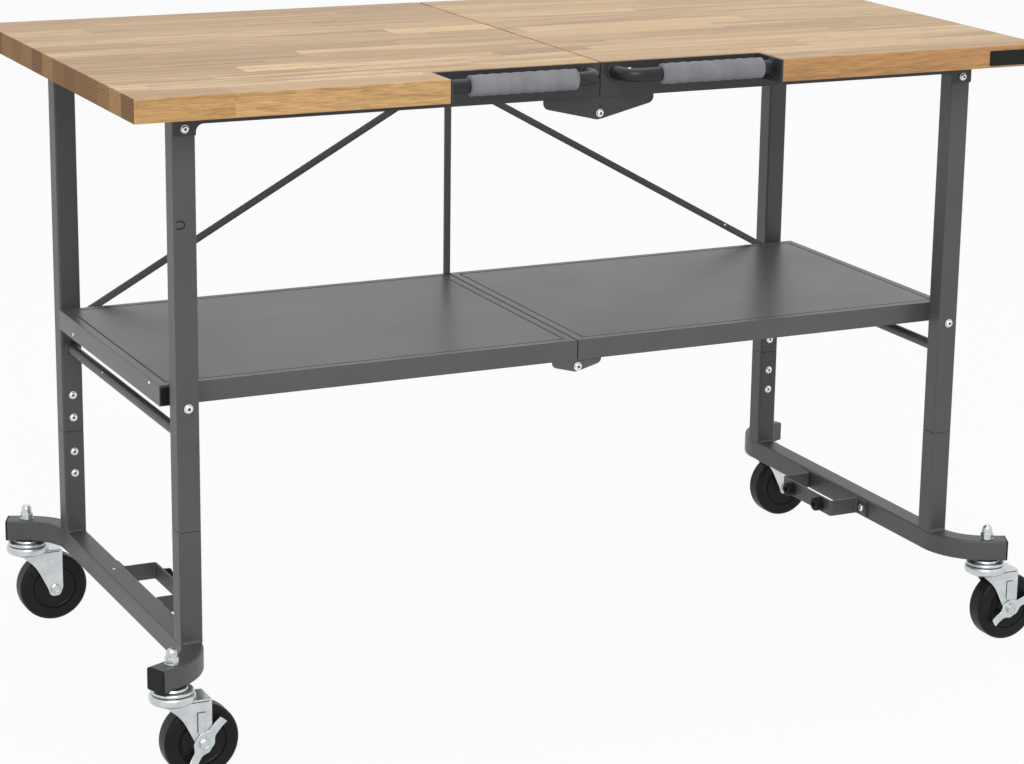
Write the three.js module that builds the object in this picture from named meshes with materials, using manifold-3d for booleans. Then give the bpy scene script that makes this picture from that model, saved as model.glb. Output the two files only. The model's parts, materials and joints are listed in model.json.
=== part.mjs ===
// Mobile folding workbench: a wooden top in two halves, a steel shelf in two halves, two leg
// frames on swivel casters. Lifting the handles folds both halves up about the centre pins.
// Millimetres, +Z up, the front of the bench faces -Y.
import * as THREE from 'three';
import { mergeVertices } from 'three/addons/utils/BufferGeometryUtils.js';
import Module from 'manifold-3d';

const wasm = await Module();
wasm.setup();

// Driving dimensions: clearances
const FIT = 0.3;
const PIN_FIT = 0.3;
const SEAM_GAP = 1;

// Driving dimensions: wooden top
const TOP_LENGTH = 1316;
const TOP_DEPTH = 656;
const TOP_HEIGHT = 880;
const BOARD_THICKNESS = 31;
const BOARD_CHAMFER = 1.5;
const RECESS_LENGTH = 242;
const LINER_DROP = 1;

// Driving dimensions: leg frames
const LEG_SIZE = 30;
const LEG_WALL = 2;
const LEG_CORNER = 3.5;
const LEG_FROM_END = 85;
const LEG_FROM_EDGE = 80;
const LEG_ABOVE_PIVOT = 9;
const SPLICE_HEIGHT = 306;
const SPIGOT_REACH = 65;
const SPIGOT_WALL = 2;
const BASE_BOTTOM = 126;
const BASE_BEND = 80;
const BASE_BEND_TURN = 66;
const BASE_TIP = 27;
const CROSS_TUBE_RADIUS = 7.5;
const CROSS_TUBE_WALL = 1.5;
const CROSS_TUBE_DROP = 41.5;

// Driving dimensions: fold stop
const BRACKET_SHEET = 3;
const BRACKET_HEIGHT = 24;
const BRACKET_REACH = 49;
const BRACKET_HALF = 71;
const BRACKET_LIP = 26;
const BUMPER_RADIUS = 11;
const BUMPER_LENGTH = 12;
const BUMPER_Y = 41;

// Driving dimensions: pivots
const PIVOT_DROP = 21;
const OVER_CENTRE = 16;
const SHELF_PIVOT_DROP = 358;
const PIN_RADIUS = 4;
const HEAD_RADIUS = 6.2;
const HEAD_LENGTH = 4;
const THIN_HEAD = 2.5;
const NUT_RADIUS = 6.5;
const NUT_LENGTH = 4;

// Driving dimensions: top rails
const RAIL_SHEET = 2.5;
const RAIL_HEIGHT = 16;
const RAIL_FLANGE = 30;
const TAB_BELOW_PIVOT = 9;
const TAB_HALF = 15;
const TAB_FLARE = 8;
const EAR_RADIUS = 9;
const HINGE_REACH = 82;
const HINGE_SHOULDER = 11;
const DOUBLER_HEIGHT = 12;

// Driving dimensions: handles
const HANDLE_RADIUS = 9;
const HANDLE_SETBACK = 24;
const HANDLE_DROP = 14;
const HANDLE_BEND = 24;
const HANDLE_FROM_SEAM = 20;
const GRIP_RADIUS = 14;
const GRIP_LENGTH = 153;
const GRIP_FROM_WALL = { left: 32, right: 17 };

// Driving dimensions: shelf
const SHELF_ABOVE_PIVOT = 20.5;
const SHELF_THICKNESS = 27.5;
const SHELF_OVERHANG = 22;
const SHELF_SHEET = 2;
const SHELF_EAR_RADIUS = 8;
const SHELF_HINGE_REACH = 38;
const SHELF_HINGE_DROP = 7.5;
const GROOVE_INSET = 12;
const GROOVE_WIDTH = 3;
const GROOVE_DEPTH = 1;

// Driving dimensions: rear linkage
const ROD_WIDTH = 10;
const ROD_SHEET = 4.5;
const ROD_EYE = 9;
const ROD_FROM_SHELF = 0.8;
const COLLAR_BELOW_PIN = 26;
const COLLAR_WALL = 2.5;
const COLLAR_HEIGHT = 20;
const BRACE_WIDTH = 10;
const BRACE_EYE = 8;
const BRACE_SHEET = 3;
const BRACE_SPACING = 1;
const BRACE_FROM_LEG = 1.6;

// Driving dimensions: casters
const CASTER_TRAIL = 34;
const WHEEL_RADIUS = 50;
const WHEEL_WIDTH = 30;
const WHEEL_GROOVE_RADIUS = 31;
const TREAD_ROUND = 5;
const HUB_RADIUS = 13;
const HUB_PROUD = 1.5;
const AXLE_RADIUS = 5;
const AXLE_HEAD_RADIUS = 8;
const AXLE_HEAD_LENGTH = 4;
const FORK_SHEET = 3;
const FORK_EYE = 12;
const FORK_TOP_GAP = 4;
const FORK_TOP_SHEET = 5;
const RACEWAY_RADIUS = 28;
const RACEWAY_THICKNESS = 8;
const FORK_RING_RADIUS = 30;
const STEM_RADIUS = 6;
const CAP_NUT_RADIUS = 8.5;
const CAP_NUT_HEIGHT = 12.5;
const LEVER_SHEET = 2.5;
const LEVER_EYE = 12;
const LEVER_ARMS = [{ length: 38, turn: 0 }, { length: 30, turn: 190 }];
const LEVER_TURN = { left: 50, right: 22 };
const LEVER_WIDTH = 13;

// Facets
const ROUND_STEPS = 20;
const PIN_STEPS = 12;
const ARC_STEPS = 5;
const BEND_STEPS = 6;
const DOME_STEPS = 3;
const CORNER_STEPS = 1;
const HANDLE_STEPS = 30;

// Places worked out from the driving dimensions
const BOARD_UNDERSIDE = TOP_HEIGHT - BOARD_THICKNESS;
const LEG_PIVOT_Z = BOARD_UNDERSIDE - PIVOT_DROP;
const CENTRE_PIN_Z = LEG_PIVOT_Z - OVER_CENTRE;
const SHELF_PIVOT_Z = LEG_PIVOT_Z - SHELF_PIVOT_DROP;
const SHELF_PIN_Z = CENTRE_PIN_Z - SHELF_PIVOT_DROP;
const LEG_HALF = LEG_SIZE / 2;
const LEG_X = TOP_LENGTH / 2 - LEG_FROM_END;
const LEG_Y = TOP_DEPTH / 2 - LEG_FROM_EDGE;
const LEG_OUTER_Y = LEG_Y + LEG_HALF;
const LEG_INNER_Y = LEG_Y - LEG_HALF;
const BASE_TOP = BASE_BOTTOM + LEG_SIZE;
const WEB_INNER = LEG_OUTER_Y + FIT;
const WEB_OUTER = WEB_INNER + RAIL_SHEET;
const RAIL_TOP = BOARD_UNDERSIDE - FIT;
const RAIL_BOTTOM = BOARD_UNDERSIDE - RAIL_HEIGHT;
const SHELF_TOP = SHELF_PIVOT_Z + SHELF_ABOVE_PIVOT;
const SHELF_BOTTOM = SHELF_TOP - SHELF_THICKNESS;
const BRACE_INNER = { right: LEG_INNER_Y - BRACE_FROM_LEG - BRACE_SHEET };
BRACE_INNER.left = BRACE_INNER.right - BRACE_SPACING - BRACE_SHEET;
const COLLAR_OUTER = BRACE_INNER.left - FIT;
const ROD_OUTER = COLLAR_OUTER - COLLAR_WALL - PIN_FIT;
const ROD_INNER = ROD_OUTER - ROD_SHEET;
const SHELF_HALF_DEPTH = ROD_INNER - ROD_FROM_SHELF;
const BASE_TURN = THREE.MathUtils.degToRad(BASE_BEND_TURN);
const CASTER_X = LEG_X + BASE_BEND * (1 - Math.cos(BASE_TURN));
const CASTER_Y = LEG_Y + BASE_BEND * Math.sin(BASE_TURN);
const RACEWAY_TOP = BASE_BOTTOM - FIT;
const RACEWAY_BOTTOM = RACEWAY_TOP - RACEWAY_THICKNESS;
const FORK_INNER = WHEEL_WIDTH / 2 + HUB_PROUD + FIT;
const FORK_OUTER = FORK_INNER + FORK_SHEET;
const REACH_RIGHT = CASTER_X + CASTER_TRAIL + WHEEL_RADIUS;
const CENTRING_SHIFT = (TOP_LENGTH / 2 - REACH_RIGHT) / 2;

const SIDES = { left: -1, right: 1 };
const ENDS = { front: -1, rear: 1 };

const MATERIALS = {
  wood: { color: 0xcfa976, roughness: 0.55, metalness: 0 },
  frame: { color: 0x4a4a4c, roughness: 0.5, metalness: 0.3 },
  rail: { color: 0x2e2e31, roughness: 0.5, metalness: 0.3 },
  shelf: { color: 0x55534f, roughness: 0.55, metalness: 0.2 },
  grip: { color: 0x85858a, roughness: 0.8, metalness: 0 },
  rubber: { color: 0x19191a, roughness: 0.75, metalness: 0 },
  wheel: { color: 0x202021, roughness: 0.6, metalness: 0 },
  zinc: { color: 0xc9ccce, roughness: 0.3, metalness: 0.9 },
};

const materials = Object.fromEntries(
  Object.entries(MATERIALS).map(([name, look]) => [name, new THREE.MeshStandardMaterial(look)]),
);
const bench = new THREE.Group();
bench.position.x = CENTRING_SHIFT;

// Solids: a closed three.js geometry becomes a manifold solid, and the other way round.
function solidOf(geometry) {
  geometry.deleteAttribute('normal');
  geometry.deleteAttribute('uv');
  const merged = mergeVertices(geometry);
  const corners = merged.index.array;
  const triangles = [];
  for (let at = 0; at < corners.length; at += 3) {
    const [a, b, c] = corners.subarray(at, at + 3);
    if (a !== b && b !== c && c !== a) triangles.push(a, b, c);
  }
  return new wasm.Manifold(new wasm.Mesh({
    numProp: 3,
    vertProperties: new Float32Array(merged.attributes.position.array),
    triVerts: new Uint32Array(triangles),
  }));
}

function geometryOf(solid) {
  const mesh = solid.getMesh();
  const geometry = new THREE.BufferGeometry();
  geometry.setAttribute('position', new THREE.BufferAttribute(mesh.vertProperties, mesh.numProp));
  geometry.setIndex(new THREE.BufferAttribute(mesh.triVerts, 1));
  geometry.computeVertexNormals();
  return geometry;
}

const join = (...solids) => solids.reduce((whole, solid) => whole.add(solid));
const cut = (solid, ...tools) => tools.reduce((whole, tool) => whole.subtract(tool), solid);

function addPiece(name, solid, material) {
  const mesh = new THREE.Mesh(geometryOf(solid), materials[material]);
  mesh.name = name;
  bench.add(mesh);
}

// Outlines
function polygon(points) {
  return new THREE.Shape(points.map(([a, b]) => new THREE.Vector2(a, b)));
}

function disc(a, b, radius) {
  const outline = new THREE.Shape();
  outline.absarc(a, b, radius, 0, 2 * Math.PI);
  return outline;
}

function roundedSquare(a, b, half, corner) {
  const outline = new THREE.Shape();
  const reach = half - corner;
  outline.absarc(a + reach, b + reach, corner, 0, Math.PI / 2);
  outline.absarc(a - reach, b + reach, corner, Math.PI / 2, Math.PI);
  outline.absarc(a - reach, b - reach, corner, Math.PI, 1.5 * Math.PI);
  outline.absarc(a + reach, b - reach, corner, 1.5 * Math.PI, 2 * Math.PI);
  return outline;
}

// A bar outline with round ends that runs from one point to another
function barOutline([a0, b0], [a1, b1], half) {
  const turn = Math.atan2(b1 - b0, a1 - a0);
  const outline = new THREE.Shape();
  outline.absarc(a1, b1, half, turn - Math.PI / 2, turn + Math.PI / 2);
  outline.absarc(a0, b0, half, turn + Math.PI / 2, turn + 1.5 * Math.PI);
  return outline;
}

// Plates: an outline drawn in plan gets a height, and one drawn in elevation a depth along Y.
function slab(outline, low, high, segments = ARC_STEPS) {
  const options = { depth: high - low, bevelEnabled: false, curveSegments: segments };
  return solidOf(new THREE.ExtrudeGeometry(outline, options).translate(0, 0, low));
}

function upright(outline, yA, yB, segments = ARC_STEPS) {
  const options = { depth: Math.abs(yB - yA), bevelEnabled: false, curveSegments: segments };
  const geometry = new THREE.ExtrudeGeometry(outline, options).rotateX(Math.PI / 2);
  return solidOf(geometry.translate(0, Math.max(yA, yB), 0));
}

function block(xA, xB, yA, yB, zA, zB) {
  const geometry = new THREE.BoxGeometry(Math.abs(xB - xA), Math.abs(yB - yA), Math.abs(zB - zA));
  return solidOf(geometry.translate((xA + xB) / 2, (yA + yB) / 2, (zA + zB) / 2));
}

// Turned pieces: a profile of radius and height pairs about Z, or laid along Y towards one end
function turned(profile, segments = ROUND_STEPS) {
  return new THREE.LatheGeometry(profile.map(([r, h]) => new THREE.Vector2(r, h)), segments);
}

function turnedZ(profile, x, y, segments) {
  return solidOf(turned(profile, segments).rotateX(Math.PI / 2).translate(x, y, 0));
}

function turnedY(profile, x, z, segments) {
  return solidOf(turned(profile, segments).translate(x, 0, z));
}

function holeY(x, z, radius, yA, yB) {
  return upright(disc(x, z, radius), yA, yB, PIN_STEPS / 2);
}

const mirrorProfile = (profile) => profile.map(([r, h]) => [r, -h]).reverse();
const alongEnd = (profile, end) => (end > 0 ? profile : mirrorProfile(profile));

// A pivot bolt along Y: nut at the inner end, head at the outer end
function pivotBolt(x, z, end, inner, outer, headLength = HEAD_LENGTH) {
  const profile = [
    [0, inner - NUT_LENGTH],
    [NUT_RADIUS, inner - NUT_LENGTH],
    [NUT_RADIUS, inner],
    [PIN_RADIUS, inner],
    [PIN_RADIUS, outer],
    [HEAD_RADIUS, outer],
    [HEAD_RADIUS, outer + headLength],
    [0, outer + headLength],
  ];
  return turnedY(alongEnd(profile, end), x, z, PIN_STEPS);
}

// Wooden top halves, with the corner by the seam cut out for the handle
function addBoard(name, side) {
  const near = SEAM_GAP / 2;
  const far = TOP_LENGTH / 2;
  const back = TOP_DEPTH / 2;
  const recess = RECESS_LENGTH + FIT;
  const outline = polygon([
    [side * recess, -back],
    [side * far, -back],
    [side * far, back],
    [side * near, back],
    [side * near, -(WEB_INNER - FIT)],
    [side * recess, -(WEB_INNER - FIT)],
  ]);
  const geometry = new THREE.ExtrudeGeometry(outline, {
    depth: BOARD_THICKNESS - 2 * BOARD_CHAMFER,
    bevelThickness: BOARD_CHAMFER,
    bevelSize: BOARD_CHAMFER,
    bevelOffset: -BOARD_CHAMFER,
    bevelSegments: 1,
  });
  geometry.translate(0, 0, BOARD_UNDERSIDE + BOARD_CHAMFER);
  addPiece(`top_board_${name}`, solidOf(geometry), 'wood');
}

// A centre hinge plate: a shoulder below the rail, sloping down to the ear round the pin.
// The left half's plate lies in the outer plane, and the right half's just inside it.
function hingePlate(side, end, plan) {
  const { pinZ, ear, reach, shoulderZ, topZ, inner, outer } = plan;
  const near = SEAM_GAP / 2;
  const plate = upright(polygon([
    [side * near, topZ],
    [side * reach, topZ],
    [side * reach, shoulderZ],
    [side * near, pinZ - ear],
    [side * near, pinZ],
  ]), end * inner, end * outer);
  const round = upright(disc(0, pinZ, ear), end * inner, end * outer, PIN_STEPS / 2);
  return join(plate, round);
}

function hingeSide(side, end, plan) {
  const sheet = plan.outer - plan.inner;
  if (side === SIDES.left) return hingePlate(side, end, plan);
  const innerPlan = { ...plan, inner: plan.inner - FIT - sheet, outer: plan.inner - FIT };
  const doubler = block(
    side * (plan.ear + plan.doublerFrom), side * plan.reach,
    end * innerPlan.inner, end * plan.outer, plan.topZ, plan.topZ - plan.doublerHeight,
  );
  return join(hingePlate(side, end, innerPlan), doubler);
}

// Top rails: a web in front of the legs with a leg tab and a hinge plate, and a flange under the
// board. The front web also rises as the lining of the hand recess.
function addRail(sideName, endName) {
  const side = SIDES[sideName];
  const end = ENDS[endName];
  const near = SEAM_GAP / 2;
  const far = LEG_X + LEG_HALF;
  const tabNear = LEG_X - TAB_HALF;
  const tabLow = LEG_PIVOT_Z - TAB_BELOW_PIVOT;
  const web = upright(polygon([
    [side * near, RAIL_TOP],
    [side * far, RAIL_TOP],
    [side * far, tabLow],
    [side * tabNear, tabLow],
    [side * (tabNear - TAB_FLARE), RAIL_BOTTOM],
    [side * near, RAIL_BOTTOM],
  ]), end * WEB_INNER, end * WEB_OUTER);
  const hinge = hingeSide(side, end, {
    pinZ: CENTRE_PIN_Z,
    ear: EAR_RADIUS,
    reach: HINGE_REACH,
    shoulderZ: RAIL_BOTTOM - HINGE_SHOULDER,
    topZ: RAIL_TOP,
    inner: WEB_INNER,
    outer: WEB_OUTER,
    doublerFrom: EAR_RADIUS,
    doublerHeight: DOUBLER_HEIGHT,
  });
  const flangeNear = endName === 'front' ? RECESS_LENGTH : near;
  const flange = block(
    side * flangeNear, side * far, end * WEB_INNER, end * (WEB_OUTER + RAIL_FLANGE),
    RAIL_TOP - RAIL_SHEET, RAIL_TOP,
  );
  let rail = join(web, hinge, flange);
  if (endName === 'front') {
    const linerTop = TOP_HEIGHT - LINER_DROP;
    const wall = RECESS_LENGTH - RAIL_SHEET;
    const back = block(side * near, side * RECESS_LENGTH, -WEB_INNER, -WEB_OUTER, RAIL_BOTTOM, linerTop);
    const cheek = block(
      side * wall, side * RECESS_LENGTH, -WEB_INNER, -TOP_DEPTH / 2, RAIL_TOP - RAIL_SHEET, linerTop,
    );
    rail = join(rail, back, cheek);
  }
  const reachIn = WEB_INNER - 2 * (RAIL_SHEET + FIT);
  const bores = [[side * LEG_X, LEG_PIVOT_Z], [0, CENTRE_PIN_Z]].map(
    ([x, z]) => holeY(x, z, PIN_RADIUS + PIN_FIT, end * reachIn, end * (WEB_OUTER + FIT)),
  );
  addPiece(`${endName}_rail_${sideName}`, cut(rail, ...bores), 'rail');
}

// Handles: a tube out of the recess wall along the front, bent back into the lining by the seam
class BendCurve extends THREE.Curve {
  constructor(centre, start, end) {
    super();
    this.centre = centre;
    this.start = start;
    this.end = end;
  }

  getPoint(t, target = new THREE.Vector3()) {
    const turn = t * Math.PI / 2;
    return target.copy(this.centre)
      .addScaledVector(this.start, Math.cos(turn))
      .addScaledVector(this.end, Math.sin(turn));
  }
}

const HANDLE_Y = -(TOP_DEPTH / 2 - HANDLE_SETBACK);
const HANDLE_Z = TOP_HEIGHT - HANDLE_DROP;

function addHandle(name, side) {
  const wallX = side * (RECESS_LENGTH - RAIL_SHEET - FIT);
  const elbowX = side * HANDLE_FROM_SEAM;
  const bendX = elbowX + side * HANDLE_BEND;
  const bendY = HANDLE_Y + HANDLE_BEND;
  const at = (x, y) => new THREE.Vector3(x, y, HANDLE_Z);
  const path = new THREE.CurvePath();
  path.add(new THREE.LineCurve3(at(wallX, HANDLE_Y), at(bendX, HANDLE_Y)));
  const down = new THREE.Vector3(0, -HANDLE_BEND, 0);
  const inward = new THREE.Vector3(-side * HANDLE_BEND, 0, 0);
  path.add(new BendCurve(at(bendX, bendY), down, inward));
  path.add(new THREE.LineCurve3(at(elbowX, bendY), at(elbowX, -(WEB_OUTER + FIT))));
  const options = { steps: HANDLE_STEPS, curveSegments: ARC_STEPS, extrudePath: path };
  const tube = new THREE.ExtrudeGeometry(disc(0, 0, HANDLE_RADIUS), options);
  addPiece(`handle_${name}`, solidOf(tube), 'rail');
}

function addGrip(name, side) {
  const far = RECESS_LENGTH - RAIL_SHEET - GRIP_FROM_WALL[name];
  const bore = HANDLE_RADIUS + FIT;
  const round = (GRIP_RADIUS - bore) / 2;
  const half = GRIP_LENGTH / 2;
  const profile = [
    [bore, -half],
    [GRIP_RADIUS - round, -half],
    [GRIP_RADIUS, round - half],
    [GRIP_RADIUS, half - round],
    [GRIP_RADIUS - round, half],
    [bore, half],
    [bore, -half],
  ];
  const sleeve = turned(profile).rotateZ(Math.PI / 2);
  addPiece(`grip_${name}`, solidOf(sleeve.translate(side * (far - half), HANDLE_Y, HANDLE_Z)), 'grip');
}

// Leg frames
function squareTube(x, y, half, wall, low, high) {
  const corner = LEG_CORNER * half / LEG_HALF;
  const bore = slab(roundedSquare(x, y, half - wall, corner / 2), low - FIT, high + FIT, CORNER_STEPS);
  return cut(slab(roundedSquare(x, y, half, corner), low, high, CORNER_STEPS), bore);
}

function addUpperLeg(sideName, endName) {
  const x = SIDES[sideName] * LEG_X;
  const end = ENDS[endName];
  const tube = squareTube(x, end * LEG_Y, LEG_HALF, LEG_WALL, SPLICE_HEIGHT + FIT, LEG_PIVOT_Z + LEG_ABOVE_PIVOT);
  const bores = [LEG_PIVOT_Z, SHELF_PIVOT_Z].map(
    (z) => holeY(x, z, PIN_RADIUS + PIN_FIT, end * (LEG_INNER_Y - FIT), end * (LEG_OUTER_Y + FIT)),
  );
  addPiece(`upper_leg_${endName}_${sideName}`, cut(tube, ...bores), 'frame');
}

// The plan of a base tube: straight between the legs, with both ends bent outwards. The casters
// stand where the bends end, and a short straight tip runs on past each of them.
function basePlan(side, half, overrun) {
  const place = (end, radius, turn, along) => [
    side * (LEG_X + BASE_BEND - radius * Math.cos(turn) + along * Math.sin(turn)),
    end * (LEG_Y + radius * Math.sin(turn) + along * Math.cos(turn)),
  ];
  const bend = (end, radius) => {
    const points = [];
    for (let step = 0; step <= BEND_STEPS; step += 1) {
      points.push(place(end, radius, step / BEND_STEPS * BASE_TURN, 0));
    }
    return [...points, place(end, radius, BASE_TURN, BASE_TIP + overrun)];
  };
  const outer = BASE_BEND + half;
  const inner = BASE_BEND - half;
  return polygon([
    ...bend(-1, outer).reverse(), ...bend(1, outer), ...bend(1, inner).reverse(), ...bend(-1, inner),
  ]);
}

function addLowerFrame(name, side) {
  const x = side * LEG_X;
  const base = cut(
    slab(basePlan(side, LEG_HALF, 0), BASE_BOTTOM, BASE_TOP),
    slab(basePlan(side, LEG_HALF - LEG_WALL, FIT), BASE_BOTTOM + LEG_WALL, BASE_TOP - LEG_WALL),
  );
  const spigotHalf = LEG_HALF - LEG_WALL - FIT;
  const socketHalf = LEG_HALF - LEG_WALL / 2;
  const legs = Object.values(ENDS).flatMap((end) => {
    const y = end * LEG_Y;
    return [
      squareTube(x, y, LEG_HALF, LEG_WALL, BASE_TOP - LEG_WALL / 2, SPLICE_HEIGHT),
      squareTube(
        x, y, socketHalf, SPIGOT_WALL + FIT + LEG_WALL / 2, SPLICE_HEIGHT - SPIGOT_REACH, SPLICE_HEIGHT,
      ),
      squareTube(x, y, spigotHalf, SPIGOT_WALL, SPLICE_HEIGHT - FIT, SPLICE_HEIGHT + SPIGOT_REACH),
    ];
  });
  const bores = Object.values(ENDS).map((end) => slab(
    disc(side * CASTER_X, end * CASTER_Y, STEM_RADIUS + PIN_FIT),
    BASE_BOTTOM - FIT, BASE_TOP + FIT, ROUND_STEPS / 2,
  ));
  addPiece(`lower_frame_${name}`, cut(join(base, ...legs), ...bores), 'frame');
}

function addCrossTube(name, side) {
  const half = LEG_INNER_Y - FIT;
  const bore = CROSS_TUBE_RADIUS - CROSS_TUBE_WALL;
  const profile = [
    [bore, -half], [CROSS_TUBE_RADIUS, -half], [CROSS_TUBE_RADIUS, half], [bore, half], [bore, -half],
  ];
  const tube = turnedY(profile, side * LEG_X, SHELF_PIVOT_Z - CROSS_TUBE_DROP, PIN_STEPS);
  addPiece(`cross_tube_${name}`, tube, 'frame');
}

// The fold stop: a strip bent to a U on the inner face of the base tube, with two rubber bumpers
const BRACKET_MID = (BASE_BOTTOM + BASE_TOP) / 2;
const BRACKET_SEAT = LEG_X - LEG_HALF - FIT;
const BRACKET_FACE = BRACKET_SEAT - BRACKET_REACH;

function addFoldStop(name, side) {
  const seat = side * BRACKET_SEAT;
  const seatFront = side * (BRACKET_SEAT - BRACKET_SHEET);
  const face = side * BRACKET_FACE;
  const faceBack = side * (BRACKET_FACE + BRACKET_SHEET);
  const arm = BRACKET_HALF;
  const armIn = BRACKET_HALF - BRACKET_SHEET;
  const lip = BRACKET_HALF + BRACKET_LIP;
  const outline = polygon([
    [seat, -lip], [seat, -armIn], [faceBack, -armIn], [faceBack, armIn], [seat, armIn], [seat, lip],
    [seatFront, lip], [seatFront, arm], [face, arm], [face, -arm], [seatFront, -arm], [seatFront, -lip],
  ]);
  const halfHeight = BRACKET_HEIGHT / 2;
  addPiece(
    `bumper_bracket_${name}`, slab(outline, BRACKET_MID - halfHeight, BRACKET_MID + halfHeight), 'frame',
  );
  const round = BUMPER_LENGTH / 4;
  const profile = [
    [0, 0],
    [BUMPER_RADIUS, 0],
    [BUMPER_RADIUS, BUMPER_LENGTH - round],
    [BUMPER_RADIUS - round, BUMPER_LENGTH],
    [0, BUMPER_LENGTH],
  ];
  for (const [endName, end] of Object.entries(ENDS)) {
    const knob = turned(profile).rotateZ(side * Math.PI / 2);
    knob.translate(side * (BRACKET_FACE - FIT), end * BUMPER_Y, BRACKET_MID);
    addPiece(`bumper_${endName}_${name}`, solidOf(knob), 'rubber');
  }
}

// Shelf halves: folded sheet pans with a groove pressed all round the top, hinged below the seam
function addShelf(name, side) {
  const near = SEAM_GAP / 2;
  const far = LEG_X + SHELF_OVERHANG;
  const depth = SHELF_HALF_DEPTH;
  const wall = SHELF_SHEET;
  const pan = cut(
    block(side * near, side * far, -depth, depth, SHELF_BOTTOM, SHELF_TOP),
    block(
      side * (near + wall), side * (far - wall), wall - depth, depth - wall,
      SHELF_BOTTOM - FIT, SHELF_TOP - wall,
    ),
  );
  const plan = {
    pinZ: SHELF_PIN_Z,
    ear: SHELF_EAR_RADIUS,
    reach: SHELF_HINGE_REACH,
    shoulderZ: SHELF_BOTTOM - SHELF_HINGE_DROP,
    topZ: SHELF_TOP - wall,
    inner: depth - wall,
    outer: depth,
    doublerFrom: SHELF_EAR_RADIUS,
    doublerHeight: SHELF_THICKNESS - 2 * wall,
  };
  const hinges = Object.values(ENDS).map((end) => hingeSide(side, end, plan));
  const insetBlock = (inset, low, high) => block(
    side * (near + inset), side * (far - inset), inset - depth, depth - inset, low, high,
  );
  const grooveFloor = SHELF_TOP - GROOVE_DEPTH;
  const groove = cut(
    insetBlock(GROOVE_INSET, grooveFloor, SHELF_TOP + FIT),
    insetBlock(GROOVE_INSET + GROOVE_WIDTH, grooveFloor - FIT, SHELF_TOP + 2 * FIT),
  );
  const boreIn = depth - 3 * (wall + FIT);
  const bores = Object.values(ENDS).flatMap((end) => [[side * LEG_X, SHELF_PIVOT_Z], [0, SHELF_PIN_Z]].map(
    ([x, z]) => holeY(x, z, PIN_RADIUS + PIN_FIT, end * boreIn, end * (depth + FIT)),
  ));
  addPiece(`shelf_${name}`, cut(join(pan, ...hinges), groove, ...bores), 'shelf');
}

// Rear linkage: the upright rod between the centre pins, the collar on it, and the two braces
function addLinkage() {
  const bar = join(
    block(-ROD_WIDTH / 2, ROD_WIDTH / 2, ROD_INNER, ROD_OUTER, SHELF_PIN_Z, CENTRE_PIN_Z),
    ...[SHELF_PIN_Z, CENTRE_PIN_Z].map((z) => holeY(0, z, ROD_EYE, ROD_INNER, ROD_OUTER)),
  );
  const bores = [SHELF_PIN_Z, CENTRE_PIN_Z].map(
    (z) => holeY(0, z, PIN_RADIUS + PIN_FIT, ROD_INNER - FIT, ROD_OUTER + FIT),
  );
  addPiece('link_rod', cut(bar, ...bores), 'frame');

  const slotHalf = ROD_WIDTH / 2 + PIN_FIT;
  const collarHalf = slotHalf + COLLAR_WALL;
  const slotInner = ROD_INNER - PIN_FIT;
  const collarZ = CENTRE_PIN_Z - COLLAR_BELOW_PIN;
  const low = collarZ - COLLAR_HEIGHT / 2;
  const high = collarZ + COLLAR_HEIGHT / 2;
  const collar = cut(
    block(-collarHalf, collarHalf, slotInner - COLLAR_WALL, COLLAR_OUTER, low, high),
    block(-slotHalf, slotHalf, slotInner, ROD_OUTER + PIN_FIT, low - FIT, high + FIT),
  );
  addPiece('brace_collar', collar, 'frame');

  for (const [name, side] of Object.entries(SIDES)) {
    const foot = [side * LEG_X, SHELF_PIVOT_Z];
    const inner = BRACE_INNER[name];
    const outer = inner + BRACE_SHEET;
    const strip = join(
      upright(barOutline(foot, [0, collarZ], BRACE_WIDTH / 2), inner, outer),
      holeY(...foot, BRACE_EYE, inner, outer),
    );
    const bore = holeY(...foot, PIN_RADIUS + PIN_FIT, inner - FIT, outer + FIT);
    addPiece(`brace_${name}`, cut(strip, bore), 'frame');
  }
}

// Pivot bolts and centre pins
function addBolts() {
  for (const [sideName, side] of Object.entries(SIDES)) {
    for (const [endName, end] of Object.entries(ENDS)) {
      const x = side * LEG_X;
      addPiece(
        `top_pivot_${endName}_${sideName}`,
        pivotBolt(x, LEG_PIVOT_Z, end, LEG_INNER_Y - FIT, WEB_OUTER + FIT), 'zinc',
      );
      addPiece(
        `shelf_pivot_${endName}_${sideName}`,
        pivotBolt(x, SHELF_PIVOT_Z, end, SHELF_HALF_DEPTH - SHELF_SHEET - FIT, LEG_OUTER_Y + FIT), 'zinc',
      );
    }
  }
  const topInner = WEB_INNER - FIT - RAIL_SHEET - FIT;
  const shelfInner = SHELF_HALF_DEPTH - 2 * (SHELF_SHEET + FIT);
  addPiece('top_pin_front', pivotBolt(0, CENTRE_PIN_Z, -1, topInner, WEB_OUTER + FIT), 'zinc');
  addPiece('top_pin_rear', pivotBolt(0, CENTRE_PIN_Z, 1, ROD_INNER - FIT, WEB_OUTER + FIT), 'zinc');
  addPiece('shelf_pin_front', pivotBolt(0, SHELF_PIN_Z, -1, shelfInner, SHELF_HALF_DEPTH + FIT), 'zinc');
  addPiece(
    'shelf_pin_rear', pivotBolt(0, SHELF_PIN_Z, 1, shelfInner, ROD_OUTER + FIT, THIN_HEAD), 'zinc',
  );
}

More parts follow.
